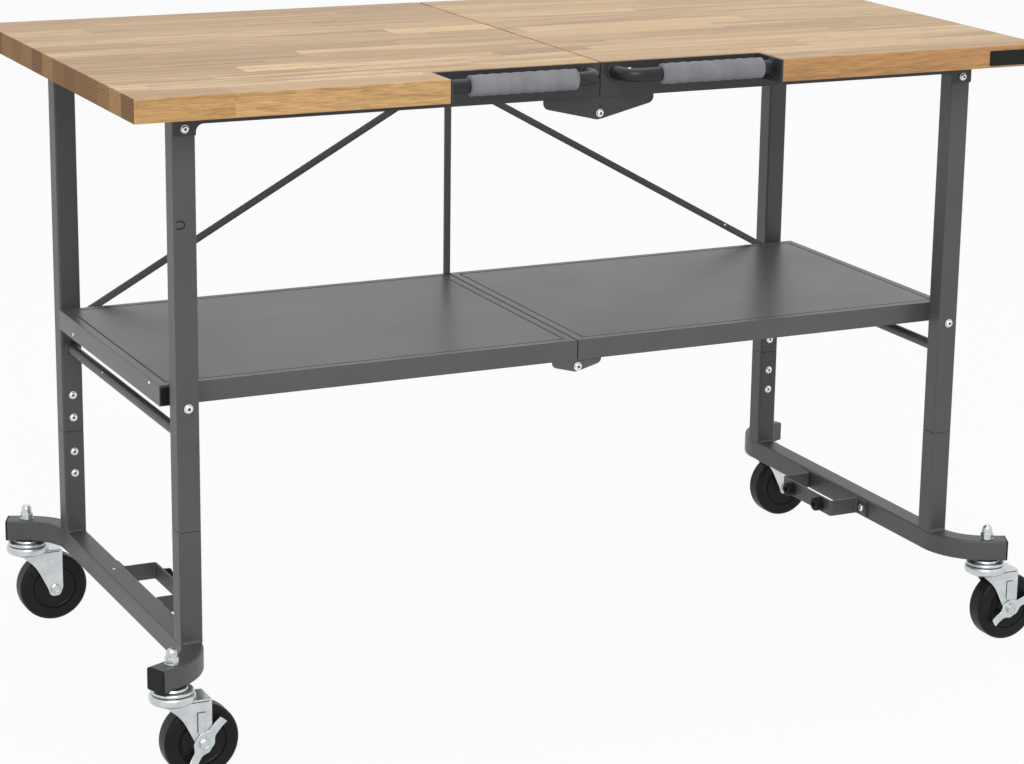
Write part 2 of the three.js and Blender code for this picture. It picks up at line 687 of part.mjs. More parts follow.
// Casters: every wheel trails its swivel axis towards +X
function addStem(place, x, y) {
  const nutLow = BASE_TOP + FIT;
  const nutHigh = nutLow + CAP_NUT_HEIGHT;
  const profile = [
    [0, RACEWAY_BOTTOM],
    [RACEWAY_RADIUS - RACEWAY_THICKNESS / 4, RACEWAY_BOTTOM],
    [RACEWAY_RADIUS, RACEWAY_BOTTOM + RACEWAY_THICKNESS / 4],
    [RACEWAY_RADIUS, RACEWAY_TOP - RACEWAY_THICKNESS / 2],
    [RACEWAY_RADIUS - RACEWAY_THICKNESS / 2, RACEWAY_TOP],
    [STEM_RADIUS, RACEWAY_TOP],
    [STEM_RADIUS, nutLow],
    [CAP_NUT_RADIUS, nutLow],
    [CAP_NUT_RADIUS, nutHigh],
  ];
  for (let step = 1; step <= DOME_STEPS; step += 1) {
    const turn = step / DOME_STEPS * Math.PI / 2;
    const radius = step < DOME_STEPS ? CAP_NUT_RADIUS * Math.cos(turn) : 0;
    profile.push([radius, nutHigh + CAP_NUT_RADIUS * Math.sin(turn)]);
  }
  addPiece(`caster_stem_${place}`, turnedZ(profile, x, y), 'zinc');
}

function addFork(place, x, y) {
  const top = RACEWAY_BOTTOM - FIT;
  const plateLow = 2 * WHEEL_RADIUS + FORK_TOP_GAP;
  const axleX = x + CASTER_TRAIL;
  const crown = join(
    slab(disc(x, y, FORK_RING_RADIUS), plateLow, top, ROUND_STEPS / 2),
    block(x, axleX + FORK_EYE, y - FORK_OUTER, y + FORK_OUTER, plateLow, plateLow + FORK_TOP_SHEET),
  );
  const cheeks = [-1, 1].map((flip) => {
    const yIn = y + flip * FORK_INNER;
    const yOut = y + flip * FORK_OUTER;
    const outline = polygon([
      [x - FORK_EYE, plateLow + FORK_TOP_SHEET],
      [x - FORK_EYE, plateLow],
      [axleX - FORK_EYE, WHEEL_RADIUS],
      [axleX + FORK_EYE, WHEEL_RADIUS],
      [axleX + FORK_EYE, plateLow + FORK_TOP_SHEET],
    ]);
    return join(upright(outline, yIn, yOut), holeY(axleX, WHEEL_RADIUS, FORK_EYE, yIn, yOut));
  });
  const reach = FORK_OUTER + FIT;
  const bore = holeY(axleX, WHEEL_RADIUS, AXLE_RADIUS + PIN_FIT, y - reach, y + reach);
  addPiece(`caster_fork_${place}`, cut(join(crown, ...cheeks), bore), 'zinc');
}

function addWheel(place, x, y) {
  const half = WHEEL_WIDTH / 2;
  const bore = AXLE_RADIUS + PIN_FIT;
  const face = [
    [bore, half + HUB_PROUD],
    [HUB_RADIUS, half + HUB_PROUD],
    [HUB_RADIUS + HUB_PROUD, half],
    [WHEEL_GROOVE_RADIUS - HUB_PROUD, half],
    [WHEEL_GROOVE_RADIUS, half - HUB_PROUD],
    [WHEEL_GROOVE_RADIUS + HUB_PROUD, half],
    [WHEEL_RADIUS - TREAD_ROUND, half],
    [WHEEL_RADIUS, half - TREAD_ROUND],
  ];
  const profile = [...mirrorProfile(face).reverse(), ...face.slice().reverse()];
  profile.push(profile[0]);
  const wheel = turned(profile).translate(x + CASTER_TRAIL, y, WHEEL_RADIUS);
  addPiece(`caster_wheel_${place}`, solidOf(wheel), 'wheel');
}

function addAxle(place, x, y, frontSeat) {
  const rear = FORK_OUTER + FIT;
  const profile = [
    [0, -frontSeat - AXLE_HEAD_LENGTH],
    [AXLE_HEAD_RADIUS, -frontSeat - AXLE_HEAD_LENGTH],
    [AXLE_HEAD_RADIUS, -frontSeat],
    [AXLE_RADIUS, -frontSeat],
    [AXLE_RADIUS, rear],
    [AXLE_HEAD_RADIUS, rear],
    [AXLE_HEAD_RADIUS, rear + AXLE_HEAD_LENGTH],
    [0, rear + AXLE_HEAD_LENGTH],
  ];
  const axle = turned(profile, PIN_STEPS).translate(x + CASTER_TRAIL, y, WHEEL_RADIUS);
  addPiece(`caster_axle_${place}`, solidOf(axle), 'zinc');
}

function addBrakeLever(place, x, y, leverTurn) {
  const axleX = x + CASTER_TRAIL;
  const outer = y - FORK_OUTER - FIT;
  const inner = outer - LEVER_SHEET;
  const arms = LEVER_ARMS.map(({ length, turn }) => {
    const reach = length - LEVER_WIDTH / 2;
    const heading = THREE.MathUtils.degToRad(leverTurn + turn);
    const tip = [axleX + reach * Math.cos(heading), WHEEL_RADIUS + reach * Math.sin(heading)];
    return upright(barOutline([axleX, WHEEL_RADIUS], tip, LEVER_WIDTH / 2), inner, outer);
  });
  const plate = join(holeY(axleX, WHEEL_RADIUS, LEVER_EYE, inner, outer), ...arms);
  const bore = holeY(axleX, WHEEL_RADIUS, AXLE_RADIUS + PIN_FIT, inner - FIT, outer + FIT);
  addPiece(`brake_lever_${place}`, cut(plate, bore), 'zinc');
}

function addCaster(sideName, endName) {
  const place = `${endName}_${sideName}`;
  const x = SIDES[sideName] * CASTER_X;
  const y = ENDS[endName] * CASTER_Y;
  const braked = endName === 'front';
  const leverRoom = braked ? LEVER_SHEET + FIT : 0;
  addStem(place, x, y);
  addFork(place, x, y);
  addWheel(place, x, y);
  addAxle(place, x, y, FORK_OUTER + FIT + leverRoom);
  if (braked) addBrakeLever(place, x, y, LEVER_TURN[sideName]);
}

for (const [name, side] of Object.entries(SIDES)) {
  addBoard(name, side);
  addHandle(name, side);
  addGrip(name, side);
  addLowerFrame(name, side);
  addCrossTube(name, side);
  addFoldStop(name, side);
  addShelf(name, side);
  for (const endName of Object.keys(ENDS)) {
    addRail(name, endName);
    addUpperLeg(name, endName);
    addCaster(name, endName);
  }
}
addLinkage();
addBolts();

export default bench;
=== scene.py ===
# %% [markdown]
# A mobile folding workbench: a butcher-block top in two halves, a steel frame on four casters and a
# shelf. The packed CAD model is the fixed frame, which says where every piece sits and how it moves.
# This lesson dresses that frame piece by piece: first a few helpers for surfaces and shaders, then
# the finishes, the wood, the steel, the shelf and the casters, and last the camera and the studio.

# %% Load the frame
import json
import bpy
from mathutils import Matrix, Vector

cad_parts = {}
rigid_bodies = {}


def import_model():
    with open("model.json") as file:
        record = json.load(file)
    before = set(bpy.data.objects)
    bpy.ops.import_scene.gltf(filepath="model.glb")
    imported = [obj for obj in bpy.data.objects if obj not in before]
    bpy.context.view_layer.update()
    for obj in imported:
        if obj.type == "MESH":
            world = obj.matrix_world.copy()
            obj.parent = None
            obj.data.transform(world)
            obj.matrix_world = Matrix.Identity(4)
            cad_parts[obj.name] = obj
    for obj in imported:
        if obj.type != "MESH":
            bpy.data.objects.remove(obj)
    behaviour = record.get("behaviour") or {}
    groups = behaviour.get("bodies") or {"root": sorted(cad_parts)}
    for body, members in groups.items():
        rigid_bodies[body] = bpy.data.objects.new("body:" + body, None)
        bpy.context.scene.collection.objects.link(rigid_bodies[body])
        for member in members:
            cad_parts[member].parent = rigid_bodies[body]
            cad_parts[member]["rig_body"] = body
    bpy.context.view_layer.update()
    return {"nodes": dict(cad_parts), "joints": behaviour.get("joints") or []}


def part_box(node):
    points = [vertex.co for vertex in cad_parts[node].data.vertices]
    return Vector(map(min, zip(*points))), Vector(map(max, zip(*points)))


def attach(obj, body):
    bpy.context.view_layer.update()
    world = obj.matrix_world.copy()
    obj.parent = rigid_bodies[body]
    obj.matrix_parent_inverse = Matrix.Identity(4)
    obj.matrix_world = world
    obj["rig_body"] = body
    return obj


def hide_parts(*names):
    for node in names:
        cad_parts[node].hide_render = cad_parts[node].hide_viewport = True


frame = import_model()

from types import SimpleNamespace

import bmesh
import bpy
import numpy as np
from mathutils import Matrix

MM = 0.001
joint_at = {
    joint["name"]: np.array(joint["pos_m"]) / MM for joint in frame["joints"] if "pos_m" in joint
}
SEAM_X = joint_at["top_centre_fold"][0]

# %% [markdown]
# Every size is in millimetres, as on a workshop drawing, measured from the floor under the seam of
# the top. The sizes could all be typed in, but a CAD node's box already holds most of them, so a
# piece that reads its box fits its node without any fitting by eye.


# %% Read sizes from the frame
def span(node):
    """Lowest and highest corner of a CAD node, in millimetres from the floor under the seam."""
    low, high = (np.array(corner) / MM - [SEAM_X, 0, 0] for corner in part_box(node))
    return low, high


def middle(node):
    """The middle of a node's box: half the sum of its corners."""
    low, high = span(node)
    return (low + high) / 2


def reach(node):
    """The distances from the seam of a node's nearer and farther end."""
    low, high = span(node)
    return sorted(np.abs([low[0], high[0]]))


near, far = reach("top_board_left")
print(f"wooden half: {near:.1f} to {far:.1f} mm from the seam")

# %% [markdown]
# A surface is a grid of points, the rows and columns of one array, with a face between every four
# neighbours. Blender's primitives could be cut and joined instead, but numpy works a whole grid out
# at once, and one formula then fits every size. All shapes end as a shell: points and faces.


# %% Surfaces on a grid
def grid(points, ring=False, caps=False):
    """Faces between neighbours of a grid; ring joins its last column to the first, caps end it."""
    rows, columns = points.shape[:2]
    index = np.arange(rows * columns).reshape(rows, columns)
    if ring:
        index = np.hstack([index, index[:, :1]])
    corners = [index[:-1, :-1], index[:-1, 1:], index[1:, 1:], index[1:, :-1]]
    faces = np.stack(corners, axis=-1).reshape(-1, 4).tolist()
    if caps:
        faces += [index[0, :columns].tolist(), index[-1, :columns].tolist()]
    return points.reshape(-1, 3), faces


print("a grid of 4 by 6 points has", len(grid(np.zeros((4, 6, 3)))[1]), "faces")

# %% [markdown]
# Sheets and tubes have rounded corners everywhere, so an outline is a polygon with an arc at each
# corner. A Bevel modifier could round them later, but bent tubes need the same arcs, and one formula
# serves both: between two directions from a centre, an arc is sin((1-s)w) / sin(w) of the first plus
# sin(sw) / sin(w) of the second, where w is the angle that it turns through.

# %% Outlines with rounded corners
ARC_STEPS = 7


def unit(vectors):
    """Vectors divided by their own length."""
    return vectors / np.linalg.norm(vectors, axis=-1, keepdims=True)


def corner_arcs(before, corner, after, radius, steps=ARC_STEPS):
    """The arc that rounds each corner, from the leg before it to the leg after it."""
    back, ahead = unit(before - corner), unit(after - corner)
    half = np.arccos(np.clip((back * ahead).sum(1), -1, 1))[:, None] / 2
    radius = np.broadcast_to(np.asarray(radius, float), len(corner))[:, None]
    centre = corner + unit(back + ahead) * radius / np.sin(half)
    start = corner + back * radius / np.tan(half) - centre
    end = corner + ahead * radius / np.tan(half) - centre
    turn = (np.pi - 2 * half)[:, None]
    share = np.linspace(0, 1, steps)[None, :, None]
    first = np.sin((1 - share) * turn) * start[:, None]
    second = np.sin(share * turn) * end[:, None]
    return (centre[:, None] + (first + second) / np.sin(turn)).reshape(-1, 2)


def rounded(points, radius):
    """A closed outline with an arc in place of each corner."""
    points = np.asarray(points, float)
    return corner_arcs(np.roll(points, 1, 0), points, np.roll(points, -1, 0), radius)


def rectangle(low, high, radius):
    """A rectangle from corner to corner with rounded corners."""
    (a0, b0), (a1, b1) = low, high
    return rounded([(a0, b0), (a1, b0), (a1, b1), (a0, b1)], radius)


print("a square tube's outline has", len(rectangle((-15, -15), (15, 15), 3)), "points")

# %% [markdown]
# Boards, plates and straight tubes are outlines carried through their thickness. A plain extrusion
# has knife edges that catch no light, so the rim is rounded too: every row of the grid is the
# outline, drawn in along its normals by the inset of a quarter circle.

# %% Plates and boards
RIM_STEPS = 4
SHORTEST_EDGE = 1e-9
MITRE_FLOOR = 0.5
AXES = {"x": (1, 2, 0), "y": (0, 2, 1), "z": (0, 1, 2)}


def laid(points, axis):
    """Points (a, b, height) turned so that their height runs along x, y or z."""
    out = np.empty_like(points)
    out[..., AXES[axis]] = points
    return out


def outline_normals(outline):
    """Outward normals of a closed outline, long enough to keep the walls parallel."""
    ahead = np.roll(outline, -1, 0) - outline
    keep = np.linalg.norm(ahead, axis=1) > SHORTEST_EDGE
    edge = unit(np.where(keep[:, None], ahead, np.roll(ahead, 1, 0)))
    across = np.column_stack([edge[:, 1], -edge[:, 0]])
    both = across + np.roll(across, 1, 0)
    x, y = outline.T
    area = np.sum(x * np.roll(y, -1) - y * np.roll(x, -1))
    squared = (both ** 2).sum(1, keepdims=True)
    return np.sign(area) * both * 2 / np.maximum(squared, MITRE_FLOOR)


def stack(outline, insets, heights, axis="z"):
    """Rows of one outline, each drawn in by its inset at its height, capped at both ends."""
    rows = outline[None] - np.asarray(insets)[:, None, None] * outline_normals(outline)[None]
    tall = np.broadcast_to(np.asarray(heights, float)[:, None, None], rows.shape[:2] + (1,))
    return grid(laid(np.concatenate([rows, tall], axis=2), axis), ring=True, caps=True)


def prism(outline, low, high, rim, axis="z"):
    """An outline carried from low to high; its rims are quarter circles, inset rim * (1 - sin t)."""
    turn = np.linspace(0, np.pi / 2, RIM_STEPS)
    inset, rise = rim * (1 - np.sin(turn)), rim * (1 - np.cos(turn))
    insets = np.concatenate([inset, inset[::-1]])
    heights = np.concatenate([low + rise, high - rise[::-1]])
    return stack(np.asarray(outline, float), insets, heights, axis)


print("a plate has", len(prism(rectangle((0, 0), (9, 9), 2), 0, 3, 1)[1]), "faces")

# %% [markdown]
# A shader is easier to read as a formula than as a heap of nodes. The small class below wraps a
# socket, so that 1 - mask or noise * 0.2 adds the Math nodes by itself, and one method makes any
# other node: its settings come first, then the values or links of its inputs.


# %% Shader sockets that do arithmetic
class Socket:
    """A node's output; operators on it add Math nodes, and node() adds any other node."""

    def __init__(self, tree, link):
        self.tree = tree
        self.link = link

    def node(self, kind, settings=None, inputs=None, output=0):
        """A new node: first its settings, then its inputs as values or links; gives one output."""
        made = self.tree.nodes.new("ShaderNode" + kind)
        for name, value in (settings or {}).items():
            setattr(made, name, value)
        for name, value in (inputs or {}).items():
            if isinstance(value, Socket):
                self.tree.links.new(value.link, made.inputs[name])
            else:
                made.inputs[name].default_value = value
        return Socket(self.tree, made.outputs[output])

    def math(self, operation, *values):
        """A Math node on one or more values or links."""
        return self.node("Math", {"operation": operation}, dict(enumerate(values)))

    def __add__(self, other):
        return self.math("ADD", self, other)

    def __sub__(self, other):
        return self.math("SUBTRACT", self, other)

    def __rsub__(self, other):
        return self.math("SUBTRACT", other, self)

    def __mul__(self, other):
        return self.math("MULTIPLY", self, other)

    def __truediv__(self, other):
        return self.math("DIVIDE", self, other)

    def __lt__(self, other):
        return self.math("LESS_THAN", self, other)

    def __gt__(self, other):
        return self.math("GREATER_THAN", self, other)

    __radd__ = __add__
    __rmul__ = __mul__

    def floor(self):
        """The whole number below."""
        return self.math("FLOOR", self)

    def fraction(self):
        """What is left above the whole number below."""
        return self.math("FRACT", self)

    def hypotenuse(self, other):
        """The root of the sum of two squares."""
        return self.math("SQRT", self * self + other * other)

    def between(self, low, high):
        """0 below low, 1 above high, smooth between them."""
        inputs = {"Value": self, "From Min": low, "From Max": high}
        return self.node("MapRange", {"interpolation_type": "SMOOTHSTEP"}, inputs)

    def mix(self, first, second):
        """A colour that goes from first to second as this value goes from 0 to 1."""
        return self.node("Mix", {"data_type": "RGBA"}, {0: self, 6: first, 7: second}, 2)

    def parts(self):
        """The three numbers of a vector or colour."""
        return [self.node("SeparateXYZ", inputs={0: self}, output=i) for i in range(3)]

    def vector(self, x, y, z):
        """A vector from three values or links."""
        return self.node("CombineXYZ", inputs={0: x, 1: y, 2: z})

    def noise(self, scale, detail=3.0, roughness=0.55, distortion=0.0):
        """Layers of noise at this vector, each one finer and weaker than the last."""
        inputs = {"Vector": self, "Scale": scale, "Detail": detail, "Roughness": roughness}
        return self.node("TexNoise", inputs={**inputs, "Distortion": distortion})

    def bump(self, strength, distance):
        """A normal tilted by the slope of this height."""
        return self.node("Bump", inputs={"Height": self, "Strength": strength, "Distance": distance})


print("a socket has", sum(callable(member) for member in vars(Socket).values()), "methods")

# %% [markdown]
# Each finish is one Principled shader. What is the same all over the surface is set on the shader
# itself, and only what varies is linked. A painted picture could carry the pattern, but it would need
# an unwrapped mesh; these patterns read Object coordinates instead. Every piece keeps its place in
# its mesh, so the pattern stays on it when the bench folds.


# %% Start a finish
def new_finish(name, **constants):
    """A material, its Principled shader with constants set by name, and its Object coordinates."""
    material = bpy.data.materials.new(name)
    material.use_nodes = True
    tree = material.node_tree
    shader = tree.nodes["Principled BSDF"]
    for socket, value in constants.items():
        shader.inputs[socket.replace("_", " ")].default_value = value
    place = Socket(tree, None).node("TexCoord", output="Object")
    return material, shader, place


def feed(shader, **links):
    """Links the varying inputs of a shader: base colour, roughness, normal and the like."""
    for socket, value in links.items():
        value.tree.links.new(value.link, shader.inputs[socket.replace("_", " ")])


print("finish helpers:", new_finish.__name__, "and", feed.__name__)

# %% [markdown]
# The top is butcher block: staves about 47 mm wide, each glued up from shorter blocks with staggered
# joints. A picture of wood would repeat, so the staves are counted instead: the floor of y over the
# stave width names the stave, and the floor of x over the block length names the block. White noise
# on those two numbers gives each block its own tone, hue and stretch of grain.

# %% Staves and blocks
STAVE = 0.0469
BLOCK = 0.36
FIRST_STAVE = 100.0
FIRST_BLOCK = 50.0
STAGGER = 7.0


def block_layout(place, shift):
    """Stave: floor of y over its width; block: floor of x over its length plus the stave's start."""
    x, y, z = place.parts()
    rows = y / STAVE + FIRST_STAVE
    stave = rows.floor()
    start = stave.node("TexWhiteNoise", {"noise_dimensions": "1D"}, {"W": stave})
    columns = x / BLOCK + start * STAGGER + FIRST_BLOCK + shift
    block = columns.floor()
    key = block.vector(stave, block, 0.0)
    chance = key.node("TexWhiteNoise", {"noise_dimensions": "2D"}, {"Vector": key}, "Color")
    tone, hue, offset = chance.parts()
    across, along = rows.fraction(), columns.fraction()
    return SimpleNamespace(
        x=x, y=y, z=z, across=across, along=along, tone=tone, hue=hue, offset=offset
    )


print("staves:", round(STAVE / MM, 1), "mm wide, blocks", round(BLOCK / MM), "mm long")

# %% [markdown]
# Wood has figure at several sizes: broad bands, streaks, short flecks and pores, all stretched along
# the fibres, so one noise is read on coordinates that run slowly along x. Where the board is sawn
# across, growth rings show as arcs about a distant pith, and on the long edges as flat arches. Both
# are a distance from a centre, cut into years by its fraction.

# %% Grain and growth rings
RINGS_PER_METRE = 250.0
PITH_HEIGHT = 0.80
BOARD_MIDDLE = 0.8645


def fibres(wood, length, width, shift=0.0):
    """Coordinates scaled by length along x and by width across, so that noise draws fibres."""
    return wood.x.vector(wood.x * length + shift, wood.y * width, wood.z * width)


def add_grain(wood):
    """Bands, streaks, flecks and pores: noises on coordinates that each block shifts."""
    own_y, own_z = wood.y * 62.0 + wood.tone * 30.0, wood.z * 62.0 + wood.hue * 30.0
    wood.bands = wood.x.vector(wood.x * 3.2 + wood.offset * 40.0, own_y, own_z).noise(1.0, 4.0, 0.6, 0.7)
    wood.streak = fibres(wood, 12.0, 420.0, wood.tone * 9.0).noise(1.0, 4.0, 0.65)
    wood.fleck = fibres(wood, 40.0, 680.0, wood.hue * 20.0).noise(1.0, 3.0, 0.6).between(0.44, 0.62)
    wood.pores = fibres(wood, 42.0, 1300.0).noise(1.0, 2.0).between(0.60, 0.72)


def late_wood(years, ripe):
    """The fraction of the years: it darkens until it is ripe and then drops back."""
    year = years.fraction()
    return year.between(0.1, ripe) * (1 - year.between(0.85, 1.0))


def add_rings(wood):
    """Rings: distance from a pith far below; arches: distance from a point within the block's edge."""
    lean = (wood.along - 0.5) * (wood.offset - 0.5) * 0.07
    pith_y = (wood.across - 0.5) * STAVE + (wood.hue - 0.5) * 0.12
    pith_z = wood.z - PITH_HEIGHT + wood.tone * 0.06 + lean
    years = pith_y.hypotenuse(pith_z) * RINGS_PER_METRE + wood.bands * 3.0
    wood.rings = late_wood(years, 0.8)
    arch_x = (wood.along - wood.hue) * 2.0
    arch_z = (wood.z - BOARD_MIDDLE) * 50.0 + wood.offset * 2.0 - 1.0
    wood.arches = late_wood(arch_x.hypotenuse(arch_z) * 3.2 + wood.bands * 2.2, 0.75)


print("rings:", round(1 / RINGS_PER_METRE / MM, 1), "mm apart")

# %% [markdown]
# The faces of the top are oiled and pale, the sawn edges along the front and back more golden, and
# the ends darker. Three materials would need a face set for each, so one material asks where it is:
# a thin skin at the board's edges and ends gets their colours. Glue lines and pores come last.

# %% Butcher block
GLUE_LINE = 0.0005
SAWN_SKIN = 0.0012
PALE = ((0.43, 0.258, 0.104, 1), (0.85, 0.600, 0.290, 1))
DEEP = ((0.22, 0.105, 0.036, 1), (0.34, 0.188, 0.074, 1))
SAWN = ((0.26, 0.135, 0.051, 1), (0.62, 0.362, 0.147, 1))
END_GRAIN = (0.10, 0.050, 0.022, 1)
PORE = (0.17, 0.090, 0.040, 1)
GLUE = (0.14, 0.075, 0.034, 1)


def beyond(value, low, high):
    """1 in the thin skins outside low and high, 0 between them."""
    return (value < low + SAWN_SKIN) + (value > high - SAWN_SKIN)


def glued(share, size):
    """1 where two neighbours meet: at both ends of a share that runs from 0 to 1 over a size."""
    return 1 - (0.5 - share.math("ABSOLUTE", share - 0.5)).between(0.0, GLUE_LINE / size)


def wood_colour(wood, at_edge, at_end, golden, streaks, tones):
    """The block's own tone darkened by its figure, for the face, the edge and the end in turn."""
    deep = wood.hue.mix(*DEEP)
    face = (wood.tone * (tones[1] - tones[0]) + tones[0]).mix(*PALE)
    face = (wood.bands.between(0.42, 0.60) * (0.2 + 0.8 * wood.offset) * streaks).mix(face, deep)
    lines = wood.streak.between(0.46, 0.60) * 0.32 + wood.fleck * 0.28 + wood.rings * 0.20
    face = (lines * streaks).mix(face, deep)
    figure = wood.bands.between(0.44, 0.58) * 0.34 + wood.streak.between(0.44, 0.60) * 0.20
    figure = figure + wood.fleck * 0.34 + wood.arches * 0.16
    edge = figure.mix(wood.tone.mix(*golden), deep)
    cut = wood.rings * 0.35 + wood.streak.between(0.45, 0.62) * 0.30
    end = cut.mix(wood.tone.mix(*SAWN), END_GRAIN)
    colour = at_end.mix(at_edge.mix(face, edge), end)
    return (wood.pores * 0.22).mix(colour, PORE)


def butcher_block(name, ends, edges, golden, streaks, tones, shift):
    """Oiled staves along x: ends and edges bound the board, the rest are the looks of its half."""
    material, shader, place = new_finish(name, IOR=1.48, Specular_IOR_Level=0.42)
    wood = block_layout(place, shift)
    add_grain(wood)
    add_rings(wood)
    at_end = beyond(wood.x, *ends)
    colour = wood_colour(wood, beyond(wood.y, *edges), at_end, golden, streaks, tones)
    butt = glued(wood.along, BLOCK) * (1 - at_end)
    joint = butt.math("MAXIMUM", glued(wood.across, STAVE), butt)
    relief = wood.bands * 0.4 + wood.streak * 0.3 - wood.pores * 0.6 - joint * 0.6
    feed(
        shader,
        Base_Color=(joint * 0.38).mix(colour, GLUE),
        Roughness=0.34 + wood.bands * 0.10 + wood.pores * 0.12 + at_end * 0.35,
        Normal=relief.bump(0.22, 0.0004),
    )
    return material


print("glue lines:", GLUE_LINE / MM, "mm")

# %% [markdown]
# The steel is powder coated. One flat colour would look like plastic, because such paint is a fine
# orange peel, a little glossier on some patches than on others, with a breath of dust. One function
# makes all the paints, and only their colours, grain and gloss differ.


# %% Powder coat
def powder_coat(name, colour, light, roughness, peel, gloss=0.5):
    """Paint whose tone drifts from colour to light and whose surface is a fine orange peel."""
    material, shader, place = new_finish(name, IOR=1.5, Specular_IOR_Level=gloss)
    drift = place.noise(7.0, 3.0)
    grain = place.noise(peel, 2.0, 0.5)
    dust = place.noise(95.0, 4.0, 0.7).between(0.62, 0.80)
    feed(
        shader,
        Base_Color=(drift.between(0.3, 0.75) * 0.6 + dust * 0.25).mix(colour, light),
        Roughness=roughness + drift * 0.14 - 0.07 + dust * 0.08,
        Normal=grain.bump(0.16, 0.00035),
    )
    return material


frame_paint = powder_coat(
    "charcoal_frame_paint", (0.065, 0.0665, 0.072, 1), (0.085, 0.087, 0.092, 1), 0.42, 1100.0
)
rail_paint = powder_coat(
    "black_rail_paint", (0.026, 0.026, 0.029, 1), (0.037, 0.037, 0.040, 1), 0.40, 1300.0
)
handle_paint = powder_coat(
    "black_handle_paint", (0.015, 0.015, 0.017, 1), (0.023, 0.023, 0.025, 1), 0.36, 1300.0, 0.32
)
shelf_paint = powder_coat(
    "grey_shelf_paint", (0.084, 0.082, 0.081, 1), (0.104, 0.102, 0.100, 1), 0.34, 900.0
)
# The rod, collar and braces use a lighter copy of the grey paint: painted light, brighter to make up for
# the shade of the top over them.
lit_link_paint = powder_coat(
    "grey_link_paint_lit", (0.135, 0.136, 0.140, 1), (0.160, 0.161, 0.165, 1), 0.45, 1100.0
)
print("paints:", frame_paint.name, rail_paint.name, handle_paint.name, shelf_paint.name, lit_link_paint.name)

# %% [markdown]
# The casters are zinc plated, and the fasteners a brighter zinc. A perfect mirror would be chrome:
# zinc has a faint blue and straw cast and a soft cloudiness, so the colour wanders a little and the
# roughness follows a second noise, with fine scratches across it.


# %% Zinc plate
def zinc_plate(name, blue, straw):
    """Zinc: metal whose cast drifts between blue and straw, clouded and finely scratched."""
    material, shader, place = new_finish(name, Metallic=1.0)
    x, y, z = place.parts()
    cast = place.noise(55.0, 3.0)
    cloud = place.noise(160.0, 4.0, 0.65)
    scratch = x.vector(x * 90.0, y * 90.0, z * 1500.0).noise(1.0, 2.0)
    feed(
        shader,
        Base_Color=cast.between(0.35, 0.7).mix(blue, straw),
        Roughness=0.20 + cloud * 0.22 + scratch.between(0.55, 0.8) * 0.10,
        Normal=(cloud * 0.6 + scratch * 0.4).bump(0.10, 0.0003),
    )
    return material


zinc = zinc_plate("caster_zinc", (0.54, 0.58, 0.60, 1), (0.66, 0.68, 0.67, 1))
bolt_zinc = zinc_plate("bright_bolt_zinc", (0.82, 0.85, 0.88, 1), (0.92, 0.92, 0.91, 1))
print("plating:", zinc.name, bolt_zinc.name)

# %% [markdown]
# The grips are a soft grey rubber with a pebbled skin, the wheels a hard black rubber that shines
# where it was moulded, the bumpers a duller one, and the plugs a plain black plastic. They differ in
# colour, gloss and the size of their pebbles, so one function with a smooth Voronoi makes all four.

# %% Rubber and plastic
BLACK_RUBBER = ((0.006, 0.006, 0.007, 1), (0.012, 0.012, 0.013, 1))


def moulded(name, colour, light, roughness, pebble, depth):
    """A moulded skin: fine pebbles, a slow drift of tone, and scuffs that dull it."""
    material, shader, place = new_finish(name, IOR=1.48, Specular_IOR_Level=0.2)
    drift = place.noise(30.0, 3.0)
    pebbles = place.node("TexVoronoi", {"feature": "SMOOTH_F1"}, {"Vector": place, "Scale": pebble})
    scuff = place.noise(220.0, 3.0, 0.7).between(0.6, 0.8)
    feed(
        shader,
        Base_Color=(drift.between(0.3, 0.7) * 0.7 + scuff * 0.3).mix(colour, light),
        Roughness=roughness + drift * 0.10 + scuff * 0.12,
        Normal=(pebbles + drift * 0.5).bump(0.25, depth),
    )
    return material


grip_rubber = moulded(
    "grey_grip_rubber", (0.205, 0.205, 0.222, 1), (0.262, 0.262, 0.280, 1), 0.62, 700.0, 0.0003
)
wheel_rubber = moulded("black_wheel_rubber", *BLACK_RUBBER, 0.36, 500.0, 0.0001)
bumper_rubber = moulded("black_bumper_rubber", *BLACK_RUBBER, 0.50, 600.0, 0.0002)
plug_plastic = moulded(
    "black_plug_plastic", (0.009, 0.009, 0.010, 1), (0.016, 0.016, 0.017, 1), 0.44, 900.0, 0.0001
)
print("skins:", grip_rubber.name, wheel_rubber.name, bumper_rubber.name, plug_plastic.name)

# %% [markdown]
# Every piece goes through one function. It turns the drawing's millimetres into the frame's metres,
# closes seams and poles by merging their doubles, points the faces outwards, and lets the piece ride
# on the body of its CAD node. A weighted normal keeps flat faces flat beside their rounded rims.

# %% Put a piece on its node
MERGE = 2e-6
SHARP = np.radians(50)
made = []


def joined(shells):
    """Several shells as one: their points in a row, and faces that count on from the shell before."""
    starts = np.cumsum([0] + [len(points) for points, _ in shells]).tolist()
    points = np.vstack([points for points, _ in shells])
    faces = [[start + i for i in face] for start, (_, some) in zip(starts, shells) for face in some]
    return points, faces


